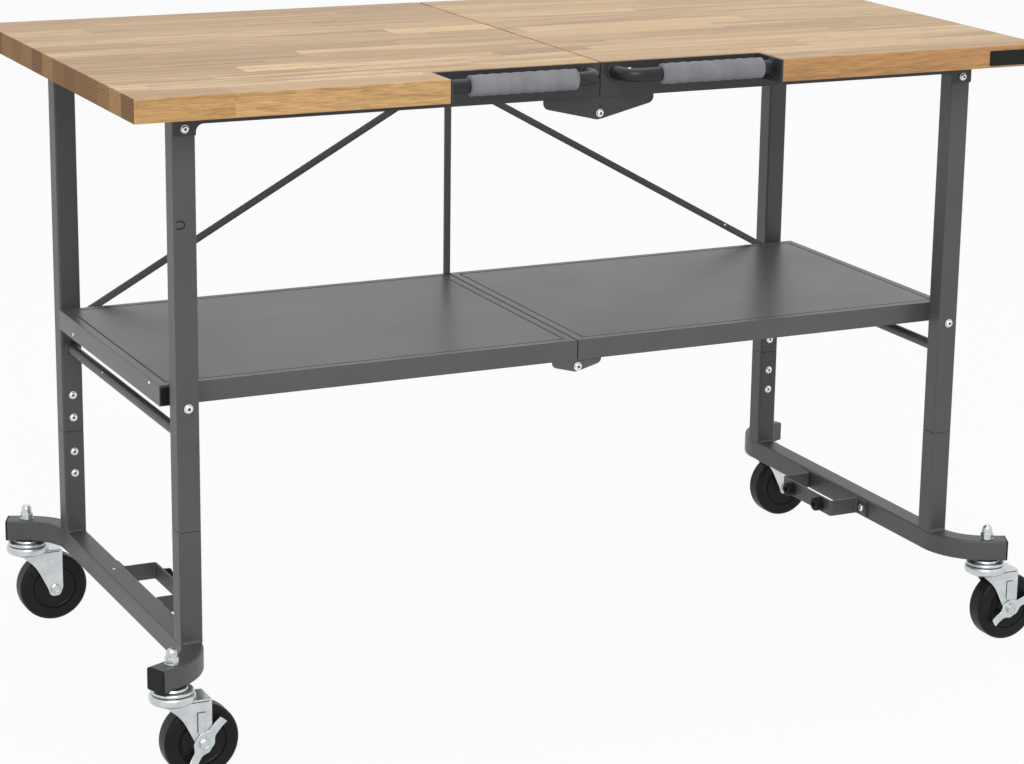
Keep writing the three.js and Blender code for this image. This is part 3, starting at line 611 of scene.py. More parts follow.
def add_piece(name, shells, finish, node, replaced=True, wall=0.0):
    """One object from shells, riding with a CAD node and standing for it if replaced."""
    points, faces = joined(shells)
    mesh = bpy.data.meshes.new(name)
    mesh.from_pydata(((points + [SEAM_X, 0, 0]) * MM).tolist(), [], faces)
    work = bmesh.new()
    work.from_mesh(mesh)
    bmesh.ops.remove_doubles(work, verts=work.verts, dist=MERGE)
    bmesh.ops.recalc_face_normals(work, faces=work.faces)
    work.to_mesh(mesh)
    work.free()
    mesh.shade_smooth()
    mesh.set_sharp_from_angle(angle=SHARP)
    mesh.materials.append(finish)
    piece = bpy.data.objects.new(name, mesh)
    bpy.context.scene.collection.objects.link(piece)
    if wall:
        sheet = piece.modifiers.new("sheet", "SOLIDIFY")
        sheet.thickness = wall * MM
        sheet.offset = -1
    shade = piece.modifiers.new("flat faces", "WEIGHTED_NORMAL")
    shade.keep_sharp = True
    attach(piece, frame["nodes"][node]["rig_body"])
    if replaced:
        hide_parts(node)
    made.append(piece)


# %% [markdown]
# Each half of the top is a board with its front corner by the seam cut out for the handle. Cutting a
# box with a Boolean would leave ragged edges there, so the board is one outline in plan, carried
# through its thickness with the small round that a sander leaves. The halves differ in their looks:
# the right one is calmer, and its front edge darker.

# %% The wooden halves
SIDES = {"left": -1, "right": 1}
LINER_SHEET = 2.5
CLEARANCE = 0.3
BOARD_RIM = 1.6
BOARD_CORNERS = [2, 3, 3, 2, 2, 2]
LOOKS = {
    "left": {
        "golden": ((0.70, 0.405, 0.158, 1), (0.95, 0.620, 0.280, 1)),
        "streaks": 0.76, "tones": (0.0, 1.0), "shift": 0.0,
    },
    "right": {
        "golden": ((0.74, 0.398, 0.154, 1), (0.40, 0.180, 0.062, 1)),
        "streaks": 0.64, "tones": (0.10, 0.68), "shift": 0.61,
    },
}
recess_end = reach("handle_left")[1] + LINER_SHEET + 2 * CLEARANCE
recess_back = span("upper_leg_front_left")[0][1]


def wooden_half(name, side):
    """The plan, a rectangle without the recess's corner, carried from the underside to the top."""
    node = f"top_board_{name}"
    low, high = span(node)
    near, far = reach(node)
    plan = np.array([
        (recess_end, low[1]), (far, low[1]), (far, high[1]),
        (near, high[1]), (near, recess_back), (recess_end, recess_back),
    ])
    board = prism(rounded(plan * [side, 1], BOARD_CORNERS), low[2], high[2], BOARD_RIM)
    ends = (np.sort([side * near, side * far]) + SEAM_X) * MM
    edges = np.array([low[1], high[1]]) * MM
    wood = butcher_block(f"butcher_block_{name}", ends, edges, **LOOKS[name])
    add_piece(f"wooden_half_{name}", [board], wood, node)


for name, side in SIDES.items():
    wooden_half(name, side)
print("hand recess:", round(recess_end, 1), "mm long, back at y", round(recess_back, 1))

# %% [markdown]
# A small dark plate sits at the right end of the front edge. It could be painted into the wood's
# material, but then it would have no edge of its own, so it is a thin prism on the wood.

# %% The bare plate
PLATE_X = (574, 646)
PLATE_FROM_BOTTOM = 3
PLATE_FROM_TOP = 7
PLATE_THICKNESS = 1.0
PLATE_CORNER = 1.5
PLATE_RIM = 0.4


def bare_plate(node):
    """A rounded rectangle carried from just inside the wood to its own thickness in front of it."""
    low, high = span(node)
    bottom, top = low[2] + PLATE_FROM_BOTTOM, high[2] - PLATE_FROM_TOP
    face = rectangle((PLATE_X[0], bottom), (PLATE_X[1], top), PLATE_CORNER)
    shell = prism(face, low[1] - PLATE_THICKNESS, low[1] + CLEARANCE, PLATE_RIM, "y")
    add_piece("bare_plate", [shell], plug_plastic, node, replaced=False)


bare_plate("top_board_right")
print("bare plate:", PLATE_X[1] - PLATE_X[0], "mm long")

# %% [markdown]
# A plate hangs at the centre of each rail and of each shelf edge and carries the centre pin. Such
# plates are stamped, and a stamped outline is quickest drawn point by point: along the seam, out to
# a rounded shoulder, and down a slope to the ear round the pin.

# %% Hinge plates
SHEET_RIM = 0.6
SHEET_CORNER = 0.9
SEAM_HALF = 0.5
EAR_INNER = 2
EAR_HEEL = 5
EAR_SHARE = 0.8


def rising(sign, first, last):
    """Two distances as places on one side of the middle, the lower place first."""
    return sorted((sign * first, sign * last))


def hinge_sheet(side, end, pin_z, ear, reach_out, shoulder, top, inner, outer, near=SEAM_HALF):
    """A plate from the seam to its rounded shoulder, sloping down to the ear round the pin."""
    outline = np.array([
        (near, top), (reach_out, top), (reach_out, shoulder), (EAR_INNER, pin_z - ear),
        (-ear, pin_z - EAR_HEEL), (-ear, pin_z + ear), (near, pin_z + ear),
    ])
    radii = [SHEET_CORNER, SHEET_CORNER, ear, ear, EAR_HEEL, ear * EAR_SHARE, SHEET_CORNER]
    return prism(rounded(outline * [side, 1], radii), *rising(end, inner, outer), SHEET_RIM, "y")


print("hinge plates: corners of", SHEET_CORNER, "mm")

# %% [markdown]
# The rails are folded sheet. The web stands in front of the legs, a flange carries the board, and a
# tab comes down over each leg. The front web also rises as the lining of the hand recess, and a cheek
# closes the recess at its end. One unfolded sheet could be bent by code, but flat plates that meet at
# the folds look the same and keep true edges. The hinge plate is its own sheet under the web, so the
# thin crease between them is real.

# %% The top rails
ENDS = {"front": -1, "rear": 1}
RAIL_HEIGHT = 16
FLANGE = 30
FLANGE_CORNER = 1
LINING_CORNER = 1.5
TAB_DROP = 9
TAB_CORNERS = [2, 1.2]
TAB_FILLET = 10
HINGE_REACH = 82
HINGE_SHOULDER = 11
HINGE_LAP = 0.2
EAR = 9
SEAM_COVER = 3
leg_pivot = joint_at["fold"] - [SEAM_X, 0, 0]
centre_pin = joint_at["top_centre_fold"]
board_bottom = span("top_board_left")[0][2]
rail_top, rail_bottom = board_bottom - CLEARANCE, board_bottom - RAIL_HEIGHT
recess_wall = recess_end - CLEARANCE
web_inner = abs(recess_back) + CLEARANCE
web_outer = web_inner + LINER_SHEET


def rail_web(name, end_name):
    """An outline up the seam, over the lining, along to the tab on the leg and back below."""
    side, end = SIDES[name], ENDS[end_name]
    leg_near, leg_far = reach(f"upper_leg_{end_name}_{name}")
    tab = leg_pivot[2] - TAB_DROP
    points, radii = [(SEAM_HALF, rail_bottom), (SEAM_HALF, rail_top)], [SHEET_CORNER] * 2
    if end_name == "front":
        lining = span(f"front_rail_{name}")[1][2]
        points[1:] = [(SEAM_HALF, lining), (recess_wall, lining), (recess_wall, rail_top)]
        radii += [LINING_CORNER, SHEET_CORNER]
    points += [(leg_far, rail_top), (leg_far, tab), (leg_near, tab), (leg_near, rail_bottom)]
    outline = rounded(np.array(points) * [side, 1], radii + [SHEET_CORNER, *TAB_CORNERS, TAB_FILLET])
    return prism(outline, *rising(end, web_inner, web_outer), SHEET_RIM, "y")


def rail_flange(name, end_name):
    """A level sheet under the board, from the recess or the seam out to the leg."""
    start = recess_wall if end_name == "front" else SEAM_HALF
    x = rising(SIDES[name], start, reach(f"upper_leg_{end_name}_{name}")[1])
    y = rising(ENDS[end_name], web_inner, web_outer + FLANGE)
    outline = rectangle((x[0], y[0]), (x[1], y[1]), FLANGE_CORNER)
    return prism(outline, rail_top - LINER_SHEET, rail_top, SHEET_RIM)


def rail_hinge(name, end_name):
    """The left plate hangs below the web; the right one lies behind it and covers the seam."""
    shoulder = rail_bottom - HINGE_SHOULDER
    shape = (SIDES[name], ENDS[end_name], centre_pin[2], EAR, HINGE_REACH, shoulder)
    if name == "left":
        return hinge_sheet(*shape, rail_bottom + HINGE_LAP, web_inner, web_outer)
    behind = web_inner - CLEARANCE
    return hinge_sheet(*shape, rail_top, behind - LINER_SHEET, behind, -SEAM_COVER)


def recess_cheek(name):
    """An upright sheet across the end of the hand recess, from the rail's front to the web."""
    low, high = span(f"front_rail_{name}")
    outline = rectangle((low[1], rail_top - LINER_SHEET), (-web_inner, high[2]), FLANGE_CORNER)
    return prism(outline, *rising(SIDES[name], recess_wall - LINER_SHEET, recess_wall), SHEET_RIM, "x")


for name in SIDES:
    for end_name in ENDS:
        rail = [make(name, end_name) for make in (rail_web, rail_flange, rail_hinge)]
        if end_name == "front":
            rail.append(recess_cheek(name))
        add_piece(f"folded_rail_{end_name}_{name}", rail, rail_paint, f"{end_name}_rail_{name}")
print("rails:", round(web_outer, 1), "mm from the middle")

# %% [markdown]
# Bent tubes and turned pieces share one idea: a profile is carried along a path, or round an axis.
# A bevelled curve and the Screw modifier do the same, but as grids the profiles keep their own points
# and the ends close cleanly.

# %% Carried and turned profiles
UP = np.array([0, 0, 1.0])


def circle(centre, radius, steps=32):
    """Points (r cos t, r sin t) about a centre."""
    turn = np.linspace(0, 2 * np.pi, steps, endpoint=False)
    return np.column_stack([np.cos(turn), np.sin(turn)]) * radius + centre


def bent(points, radius, steps=12):
    """An open path with its inner corners bent to a radius."""
    points = np.asarray(points, float)
    arcs = corner_arcs(points[:-2], points[1:-1], points[2:], radius, steps)
    return np.vstack([points[:1], arcs, points[-1:]])


def sweep(profile, path, height):
    """A closed profile (across, up) carried along a level path: p + a * side + b * up."""
    path = np.column_stack([path, np.full(len(path), height)])
    side = np.cross(unit(np.gradient(path, axis=0)), UP)
    points = path[:, None] + profile[None, :, :1] * side[:, None] + profile[None, :, 1:] * UP
    return grid(points, ring=True, caps=True)


def lathe(profile, centre, axis, facing=1, steps=40, sides=None):
    """(r cos t, r sin t, h) round an axis through centre; with sides, r follows a polygon's edge."""
    radius, height = np.asarray(profile, float).T
    turn = np.linspace(0, 2 * np.pi, steps, endpoint=False)
    grow = 1.0
    if sides:
        step = 2 * np.pi / sides
        grow = 1 / np.cos((turn + step / 2) % step - step / 2)
    across = radius[:, None] * grow
    tall = np.broadcast_to(height[:, None] * facing, (len(radius), steps))
    points = np.stack([across * np.cos(turn), across * np.sin(turn), tall], axis=-1)
    return grid(laid(points, axis) + centre, ring=True)


def cylinder(radius, low, high):
    """The profile of a plain rod: out from the axis, up, and back to the axis."""
    return [(0, low), (radius, low), (radius, high), (0, high)]


print("a turned rod has", len(lathe(cylinder(5, 0, 9), (0, 0, 0), "z")[1]), "faces")

# %% [markdown]
# The handles are bent tube: a circle carried along a path with one wide bend, with a small foot at
# either end. Each grip is turned with shallow rings for the fingers, because bump alone would leave
# its outline straight. Its radius is R - d * (1 - cos(2 pi n s)) / 2 between two rounded ends.

# %% Handles and grips
HANDLE_BEND = 24
FOOT_RIM = 3
FOOT_HEIGHT = 3
GRIP_RINGS = 9
RING_STEPS = 10
RING_DEPTH = 0.7
GRIP_ROUND = 3
GRIP_WALL = 5


def handle(name, side):
    """A circle carried from the recess's end round the bend to its back, and two turned feet."""
    node = f"handle_{name}"
    low, high = span(node)
    near, far = reach(node)
    radius = (high[2] - low[2]) / 2
    y, z, elbow = low[1] + radius, middle(node)[2], near + radius
    path = np.array([(far, y), (elbow, y), (elbow, high[1])]) * [side, 1]
    tube = sweep(circle((0, 0), radius), bent(path, HANDLE_BEND), z)
    rim = radius + FOOT_RIM
    foot = [(0, 0), (rim, 0), (rim, FOOT_HEIGHT / 2), (radius, FOOT_HEIGHT), (0, FOOT_HEIGHT)]
    wall_foot = lathe(foot, (side * far, y, z), "x", -side)
    lining_foot = lathe(foot, (side * elbow, high[1], z), "y", -1)
    add_piece(f"bent_handle_{name}", [tube, wall_foot, lining_foot], handle_paint, node)


def grip(name):
    """A ringed radius turned along the handle; near the ends it follows a quarter circle inwards."""
    node = f"grip_{name}"
    low, high = span(node)
    length, radius = high[0] - low[0], (high[2] - low[2]) / 2
    share = np.linspace(0, 1, GRIP_RINGS * RING_STEPS + 1)
    from_end = np.minimum(share, 1 - share) * length
    short_of_round = np.clip(GRIP_ROUND - from_end, 0, None)
    round_off = GRIP_ROUND - np.sqrt(np.clip(GRIP_ROUND ** 2 - short_of_round ** 2, 0, None))
    rings = RING_DEPTH * (1 - np.cos(2 * np.pi * GRIP_RINGS * share)) / 2
    inner = radius - GRIP_WALL
    skin = np.column_stack([radius - round_off - rings, share * length])
    profile = np.vstack([[(inner, 0)], skin, [(inner, length)], [(inner, 0)]])
    _, y, z = middle(node)
    add_piece(f"ringed_grip_{name}", [lathe(profile, (low[0], y, z), "x", steps=64)], grip_rubber, node)


for name, side in SIDES.items():
    handle(name, side)
    grip(name)
print("grips:", GRIP_RINGS, "rings each")

# %% [markdown]
# The legs are square tube with rounded corners. The base tube is the same square carried along a path
# with two bends, the lower legs stand on it on a weld, and the upper legs slip over their spigots at
# the splice. A weld could be a torus, but it is an outline that flares out as it meets the tube; it is
# drawn in across the tube, so that it stays flush with its sides and only fills the corners along it.

# %% Leg frames
TUBE_CORNER = 3.0
BASE_BEND = 80
BASE_TURN = np.radians(66)
BASE_TIP = 27
SPLICE_RIM = 0.8
LEG_SINK = 1
WELD_FLARE = np.array([2.4, 1.3, 0.5, 0.0])
WELD_RISE = np.array([-0.6, 0.6, 1.8, 3.4])
TUBE_WELD = [(2.5, 0), (1.5, 1.5), (0, 4)]


def leg_middle(name):
    """Distance of a leg's axis from the seam and from the middle, and half the width of its tube."""
    low, high = span(f"upper_leg_front_{name}")
    return abs(low[0] + high[0]) / 2, abs(low[1] + high[1]) / 2, (high[0] - low[0]) / 2


def base_path(name):
    """Both ends follow R (1 - cos t) outwards and R sin t along, and then go straight on."""
    leg_x, leg_y, _ = leg_middle(name)
    turn = np.linspace(0, BASE_TURN, 18)
    bend = np.column_stack([leg_x + BASE_BEND * (1 - np.cos(turn)), leg_y + BASE_BEND * np.sin(turn)])
    tip = bend[-1] + BASE_TIP * np.array([np.sin(BASE_TURN), np.cos(BASE_TURN)])
    half = np.vstack([bend, tip])
    return np.vstack([half[::-1] * [1, -1], half]) * [SIDES[name], 1]


def lower_frame(name, side):
    """A square carried along the base's path, two upright squares on it, and a flare round each."""
    bottom = span(f"lower_frame_{name}")[0][2]
    leg_x, leg_y, half = leg_middle(name)
    square = rectangle((-half, -half), (half, half), TUBE_CORNER)
    shells = [sweep(square, base_path(name), bottom + half)]
    base_top = bottom + 2 * half
    splice = span(f"upper_leg_front_{name}")[0][2] - CLEARANCE
    for end in ENDS.values():
        foot = np.array([side * leg_x, end * leg_y])
        leg = rectangle(foot - half, foot + half, TUBE_CORNER)
        shells.append(prism(leg, base_top - LEG_SINK, splice, SPLICE_RIM))
        slim = np.array([half - WELD_FLARE[0], half])
        weld = rectangle(foot - slim, foot + slim, TUBE_CORNER)
        shells.append(stack(weld, -WELD_FLARE, base_top + WELD_RISE))
    add_piece(f"base_tube_{name}", shells, frame_paint, f"lower_frame_{name}")


def cross_tube(name):
    """A turned rod between the legs whose radius grows to a weld at both ends."""
    node = f"cross_tube_{name}"
    low, high = span(node)
    radius, half = (high[2] - low[2]) / 2, (high[1] - low[1]) / 2
    profile = [(0, -half)] + [(radius + out, off - half) for out, off in TUBE_WELD]
    profile += [(r, -h) for r, h in reversed(profile)]
    add_piece(f"round_tube_{name}", [lathe(profile, middle(node), "y")], frame_paint, node)


def upper_leg(name, end_name):
    """A square outline carried from the splice to the top pivot."""
    node = f"upper_leg_{end_name}_{name}"
    low, high = span(node)
    tube = prism(rectangle(low[:2], high[:2], TUBE_CORNER), low[2], high[2], SPLICE_RIM)
    add_piece(f"leg_tube_{end_name}_{name}", [tube], frame_paint, node)


for name, side in SIDES.items():
    lower_frame(name, side)
    cross_tube(name)
    for end_name in ENDS:
        upper_leg(name, end_name)
print("leg frames: base tubes bent to a radius of", BASE_BEND, "mm")

# %% [markdown]
# Black plastic plugs close the ends of the base tubes and of the shelf's end tubes. A flat black face
# would do from afar, but a real plug is a thin cap with a rim that stands a little proud, so the
# outline is stacked: out to the rim, over it, and down into the dished middle.

# %% End plugs
PLUG_PROUD = 2.2
PLUG_DISH = 0.5
PLUG_ROUND = 0.8
PLUG_BORDER = 1.2
PLUG_LIP = 0.6
PLUG_SUNK = 1.0
PLUG_SIDE = 0.7


def plug(low, high, corner, face, outward, axis):
    """A cap whose rim stands proud of the tube and whose middle is dished."""
    border = corner - PLUG_BORDER
    insets = [PLUG_LIP, 0, 0, PLUG_ROUND, border, border + PLUG_ROUND]
    rim, dish = [PLUG_PROUD - PLUG_SIDE, PLUG_PROUD], [PLUG_PROUD, PLUG_PROUD - PLUG_DISH]
    steps = [-PLUG_SUNK, -PLUG_LIP, *rim, *dish]
    return stack(rectangle(low, high, corner), insets, face + outward * np.array(steps), axis)


def set_down(shell, turn, centre):
    """A shell turned about the upright axis by (cos t, sin t) and moved to a centre."""
    points, faces = shell
    spin = np.array([[np.cos(turn), np.sin(turn), 0], [-np.sin(turn), np.cos(turn), 0], [0, 0, 1]])
    return points @ spin + centre, faces


def base_plugs(name):
    """One plug at either end of the base's path, turned to the path's last heading."""
    half = leg_middle(name)[2]
    path = base_path(name)
    cap = plug((-half, -half), (half, half), TUBE_CORNER, 0, 1, "x")
    height = span(f"lower_frame_{name}")[0][2] + half
    shells = []
    for tip, before in ((path[0], path[1]), (path[-1], path[-2])):
        heading = np.arctan2(*(tip - before)[::-1])
        shells.append(set_down(cap, heading, [*tip, height]))
    add_piece(f"base_plugs_{name}", shells, plug_plastic, f"lower_frame_{name}", replaced=False)


for name in SIDES:
    base_plugs(name)
print("base plugs:", PLUG_PROUD, "mm proud")

# %% [markdown]
# The fold stop is a strip bent to a U and bolted to the base tube, with two rubber bumpers that meet
# those of the other frame when the bench is folded. The strip's thin profile is carried along its
# bent path, which keeps its thickness even in the bends, and each bumper is turned, with a hole for
# its screw in the face.

# %% Fold stops
STRIP = 3
STRIP_BEND = 3.5
STRIP_CORNER = 0.8
STRIP_ARM = 71
BUMPER_STEP = 0.6
BUMPER_FOOT = (1, 2)
SCREW_HOLE = (4.2, 4.0)
SCREW_HOLE_DEPTH = 5
NOSE_TURN = np.array([0, 0.5, 1.0, 1.57])


def fold_stop(name, side):
    """A thin rectangle carried along a U: out from the tube, across the face and back."""
    node = f"bumper_bracket_{name}"
    low, high = span(node)
    face, seat = reach(node)
    half = STRIP / 2
    arm, face, seat = STRIP_ARM - half, face + half, seat - half
    path = [(seat, low[1]), (seat, -arm), (face, -arm), (face, arm), (seat, arm), (seat, high[1])]
    tall = (high[2] - low[2]) / 2
    profile = rectangle((-half, -tall), (half, tall), STRIP_CORNER)
    strip = sweep(profile, bent(np.array(path) * [side, 1], STRIP_BEND, 8), middle(node)[2])
    add_piece(f"stop_strip_{name}", [strip], frame_paint, node)


def bumper(name, side, end_name):
    """A turned button: a stepped foot, a nose that rounds by soft * sin t, and a hole in its face."""
    node = f"bumper_{end_name}_{name}"
    low, high = span(node)
    radius, length = (high[2] - low[2]) / 2, high[0] - low[0]
    body, soft, floor = radius - BUMPER_STEP, length / 4, length - SCREW_HOLE_DEPTH
    across, along = body - soft * (1 - np.cos(NOSE_TURN)), length - soft + soft * np.sin(NOSE_TURN)
    nose = np.column_stack([across, along])
    foot = [(0, 0), (radius, 0), (radius, BUMPER_FOOT[0]), (body, BUMPER_FOOT[1])]
    hole = [(SCREW_HOLE[0], length), (SCREW_HOLE[1], floor), (0, floor)]
    base = (side * reach(node)[1], *middle(node)[1:])
    shell = lathe(np.vstack([foot, nose, hole]), base, "x", -side)
    add_piece(f"{node}_rubber", [shell], bumper_rubber, node)


for name, side in SIDES.items():
    fold_stop(name, side)
    for end_name in ENDS:
        bumper(name, side, end_name)
print("fold stops with", len(SIDES) * len(ENDS), "bumpers")

# %% [markdown]
# A shelf half is a pan of folded sheet. A box with a Bevel would miss its pressed groove, so the pan
# is one height field. Along x its profile rises from one skirt, rounds the edge, crosses the top and
# goes down the other skirt, and along y it does the same; the height is the sum of both drops, which
# makes the corners soft by itself. The groove runs round the top like a picture frame: its depth is
# d * (1 + cos(pi s)) / 2, where s is how far a point lies off the groove's line. A Solidify modifier
# gives the sheet its thickness inwards.

# %% Shelf halves
PAN_ROUND = 1.3
GROOVE_INSET = 13.5
GROOVE_HALF = 1.6
GROOVE_DEPTH = 3.0
PAN_SHEET = 2.0
PAN_SEAM = 0.9
SKIRT = 27.5


def pan_profile(length):
    """Places and drops from the foot of one skirt, over the top, to the foot of the other."""
    turn = np.linspace(0, np.pi / 2, 6)
    groove = GROOVE_INSET + GROOVE_HALF * np.linspace(-1, 1, 9)
    place = np.concatenate([[0], PAN_ROUND * (1 - np.cos(turn)), groove])
    drop = np.concatenate([[-SKIRT], PAN_ROUND * (np.sin(turn) - 1), np.zeros(len(groove))])
    return np.concatenate([place, length - place[::-1]]), np.concatenate([drop, drop[::-1]])


def shelf_pan(name, side):
    """top + drop(x) + drop(y), never below the skirt's foot, less the groove."""
    node = f"shelf_{name}"
    low, high = span(node)
    length, depth = reach(node)[1] - PAN_SEAM, abs(low[1])
    x, drop_x = pan_profile(length)
    y, drop_y = pan_profile(2 * depth)
    from_end, from_edge = np.minimum(x, length - x), np.minimum(y, 2 * depth - y)
    off_line = np.minimum(from_end[:, None], from_edge[None]) - GROOVE_INSET
    groove = GROOVE_DEPTH * (1 + np.cos(np.pi * np.clip(off_line / GROOVE_HALF, -1, 1))) / 2
    height = high[2] + np.maximum(drop_x[:, None] + drop_y[None], -SKIRT) - groove
    places = np.broadcast_arrays(side * (PAN_SEAM + x)[:, None], (y - depth)[None], height)
    pan = grid(np.stack(places, axis=-1))
    add_piece(f"shelf_pan_{name}", [pan], shelf_paint, node, wall=PAN_SHEET)


for name, side in SIDES.items():
    shelf_pan(name, side)
print("shelf halves", round(reach("shelf_left")[1] - PAN_SEAM, 1), "mm long")

# %% [markdown]
# Hinge plates hang at the shelf's seam as they do at the top's, with the right ones behind the left
# ones. They are the same stamped shape, so the same function makes them from the shelf's own sizes.

# %% Shelf hinge plates
PLATE_SET_IN = 0.6
PLATE_LAP = 0.3
SHELF_SHOULDER = 7.5
SHELF_EAR = 8
SHELF_HINGE_REACH = 38
shelf_pin = joint_at["shelf_centre_fold"]


def shelf_hinge(name, side):
    """One plate at either edge, set in behind the skirt and, on the right, behind the left plate."""
    node = f"shelf_{name}"
    low, high = span(node)
    bottom = high[2] - SKIRT
    set_in = PLATE_SET_IN if name == "left" else PLATE_SET_IN + PAN_SHEET + CLEARANCE
    outer = abs(low[1]) - set_in
    inner = abs(low[1]) - PAN_SHEET - set_in
    top = bottom + PLATE_LAP + set_in * 3
    shape = (shelf_pin[2], SHELF_EAR, SHELF_HINGE_REACH, bottom - SHELF_SHOULDER, top, inner, outer)
    plates = [hinge_sheet(side, end, *shape) for end in ENDS.values()]
    add_piece(f"shelf_hinge_plates_{name}", plates, shelf_paint, node, replaced=False)


for name, side in SIDES.items():
    shelf_hinge(name, side)
print("shelf hinge plates:", SHELF_HINGE_REACH, "mm long")

# %% [markdown]
# Under each end of the shelf runs a slim tube with a black plug at both ends, and small bright rivets
# hold the sheet to it. The plug function serves again, and a rivet is a turned dome, which is round
# from every side where a painted dot is not.

# %% Shelf ends
END_TUBE = 13
END_INSET = 1
PLUG_CORNER = 3
PLUG_FROM_TOP = 3
RIVET_RADIUS = 2.2
SHELF_RIVETS = ((-176, 6), (150, 20))
SHELF_RIVET = (0.5, 0.2, 1.1)


def dome(radius, low, high, steps=6):
    """A profile from the rim of a cap to its top: (r cos t, low + (high - low) sin t)."""
    turn = np.linspace(0, np.pi / 2, steps)
    across = radius * np.cos(turn)
    across[-1] = 0
    return np.column_stack([across, low + (high - low) * np.sin(turn)]).tolist()


def rivet_head(sunk, low, high):
    """A dome on a short shank that is sunk into its sheet."""
    return [(0, -sunk), (RIVET_RADIUS, -sunk)] + dome(RIVET_RADIUS, low, high)


def shelf_end(name, side):
    """A plug at either end of the slim tube, and domes on the skirt over it."""
    node = f"shelf_{name}"
    low, high = span(node)
    far, top = reach(node)[1], high[2]
    x = rising(side, far - END_TUBE - END_INSET, far - END_INSET)
    corners = (x[0], top - SKIRT + END_INSET), (x[1], top - PLUG_FROM_TOP)
    plugs = [plug(*corners, PLUG_CORNER, end * abs(low[1]), end, "y") for end in ENDS.values()]
    add_piece(f"shelf_plugs_{name}", plugs, plug_plastic, node, replaced=False)
    head = rivet_head(*SHELF_RIVET)
    rivets = [lathe(head, (side * far, y, top - drop), "x", side, 16) for y, drop in SHELF_RIVETS]
    add_piece(f"shelf_rivets_{name}", rivets, bolt_zinc, node, replaced=False)


for name, side in SIDES.items():
    shelf_end(name, side)
print("shelf ends:", len(SHELF_RIVETS), "rivets each")

# %% [markdown]
# At the back an upright rod joins the centre hinges, and two braces run from the legs to a collar
# that slides on it. The rod is a flat bar with an eye at each end. A brace is a strip with a crease
# along its lower edge. The crease could be bump, but then it would fade from the side: instead a thin
# core carries a narrow and a wide band, and the crease stays open between them.

# %% Rear linkage
ROD_EYE = 9
ROD_HALF = 5
ROD_RIM = 0.8
ROD_CORNER = 1
EYE_SET_IN = 0.2
COLLAR_CORNER = 2
BRACE_HALF = 5
BRACE_EYE = 8
BRACE_RIM = 0.3
BRACE_EYE_RIM = 0.6
BRACE_EYE_SET_IN = 0.1
CREASE = (-3.2, -2.4)
CREASE_DEPTH = 0.7


def link_rod(node):
    """A flat bar between two round eyes, each an outline carried through its thickness."""
    low, high = span(node)
    ends = [(0, low[2] + ROD_EYE), (0, high[2] - ROD_EYE)]
    bar = rectangle((-ROD_HALF, ends[0][1]), (ROD_HALF, ends[1][1]), ROD_CORNER)
    shells = [prism(bar, low[1], high[1], ROD_RIM, "y")]
    thick = (low[1] + EYE_SET_IN, high[1] - EYE_SET_IN)
    shells += [prism(circle(end, ROD_EYE), *thick, ROD_RIM, "y") for end in ends]
    add_piece("upright_rod", shells, lit_link_paint, node)


def sliding_collar(node):
    """A rounded block round the rod."""
    low, high = span(node)
    sleeve = prism(rectangle(low[:2], high[:2], COLLAR_CORNER), low[2], high[2], ROD_RIM)
    add_piece("sliding_collar", [sleeve], lit_link_paint, node)


def capsule(start, end, half, steps=10):
    """A bar with round ends: two half circles about the ends of a line."""
    heading = np.arctan2(*(end - start)[::-1])
    turn = np.linspace(-np.pi / 2, np.pi / 2, steps) + heading
    cap = np.column_stack([np.cos(turn), np.sin(turn)]) * half
    return np.vstack([end + cap, start - cap])


def brace(name, side):
    """A thin core from the leg's pivot to the collar, two bands on it, and an eye at the pivot."""
    node = f"brace_{name}"
    low, high = span(node)[0][1], span(node)[1][1]
    foot = np.array([side * abs(leg_pivot[0]), joint_at["shelf_fold"][2]])
    head = np.array([0, middle("brace_collar")[2]])
    along = unit(head - foot)
    upward = np.array([-along[1], along[0]]) * np.sign(along[0])
    core = capsule(foot, head, BRACE_HALF)
    shells = [prism(core, low + CREASE_DEPTH, high - CREASE_DEPTH, BRACE_RIM, "y")]
    for first, last in ((-BRACE_HALF, CREASE[0]), (CREASE[1], BRACE_HALF)):
        shift = upward * (first + last) / 2
        band = capsule(foot + shift, head + shift, (last - first) / 2)
        shells.append(prism(band, low, high, BRACE_RIM, "y"))
    thick = (low + BRACE_EYE_SET_IN, high - BRACE_EYE_SET_IN)
    shells.append(prism(circle(foot, BRACE_EYE), *thick, BRACE_EYE_RIM, "y"))
    add_piece(f"creased_brace_{name}", shells, lit_link_paint, node)


link_rod("link_rod")
sliding_collar("brace_collar")
for name, side in SIDES.items():
    brace(name, side)
print("rear linkage: rod, collar and", len(SIDES), "braces")

# %% [markdown]
# All the pivots are button-head bolts with a socket, on a washer, with a hex nut behind. A
# sphere would pass for the head, but not its washer and socket, so the head is one turned profile.
# One function reads the place of its node, because such heads look alike at any pivot. The floor of
# the socket is covered by a dark disc of its own: painted shade, the shadow deep in the socket.

# %% Bolt heads
SOCKET = 0.38
SOCKET_DEPTH = 1.3
SOCKET_MOUTH = 1.1
SOCKET_EDGE = 0.1
SOCKET_SLACK = 0.05
SOCKET_SKIN = 0.3
WASHER = ((1.14, 0.7), (1.0, 0.8))
CROWN_SHARES = ((0.97, 0.55), (0.86, 0.86), (0.66, 1.0))


def button_head(radius, height):
    """A washer and a domed head with a round socket in its top, from the seat at height 0."""
    washer = [(0, 0), (radius * WASHER[0][0], 0)] + [(radius * wide, tall) for wide, tall in WASHER]
    crown = [(radius * wide, height * tall) for wide, tall in CROWN_SHARES]
    hole, floor = radius * SOCKET, height - SOCKET_DEPTH
    return washer + crown + [(hole * SOCKET_MOUTH, height - SOCKET_EDGE), (hole, floor), (0, floor)]


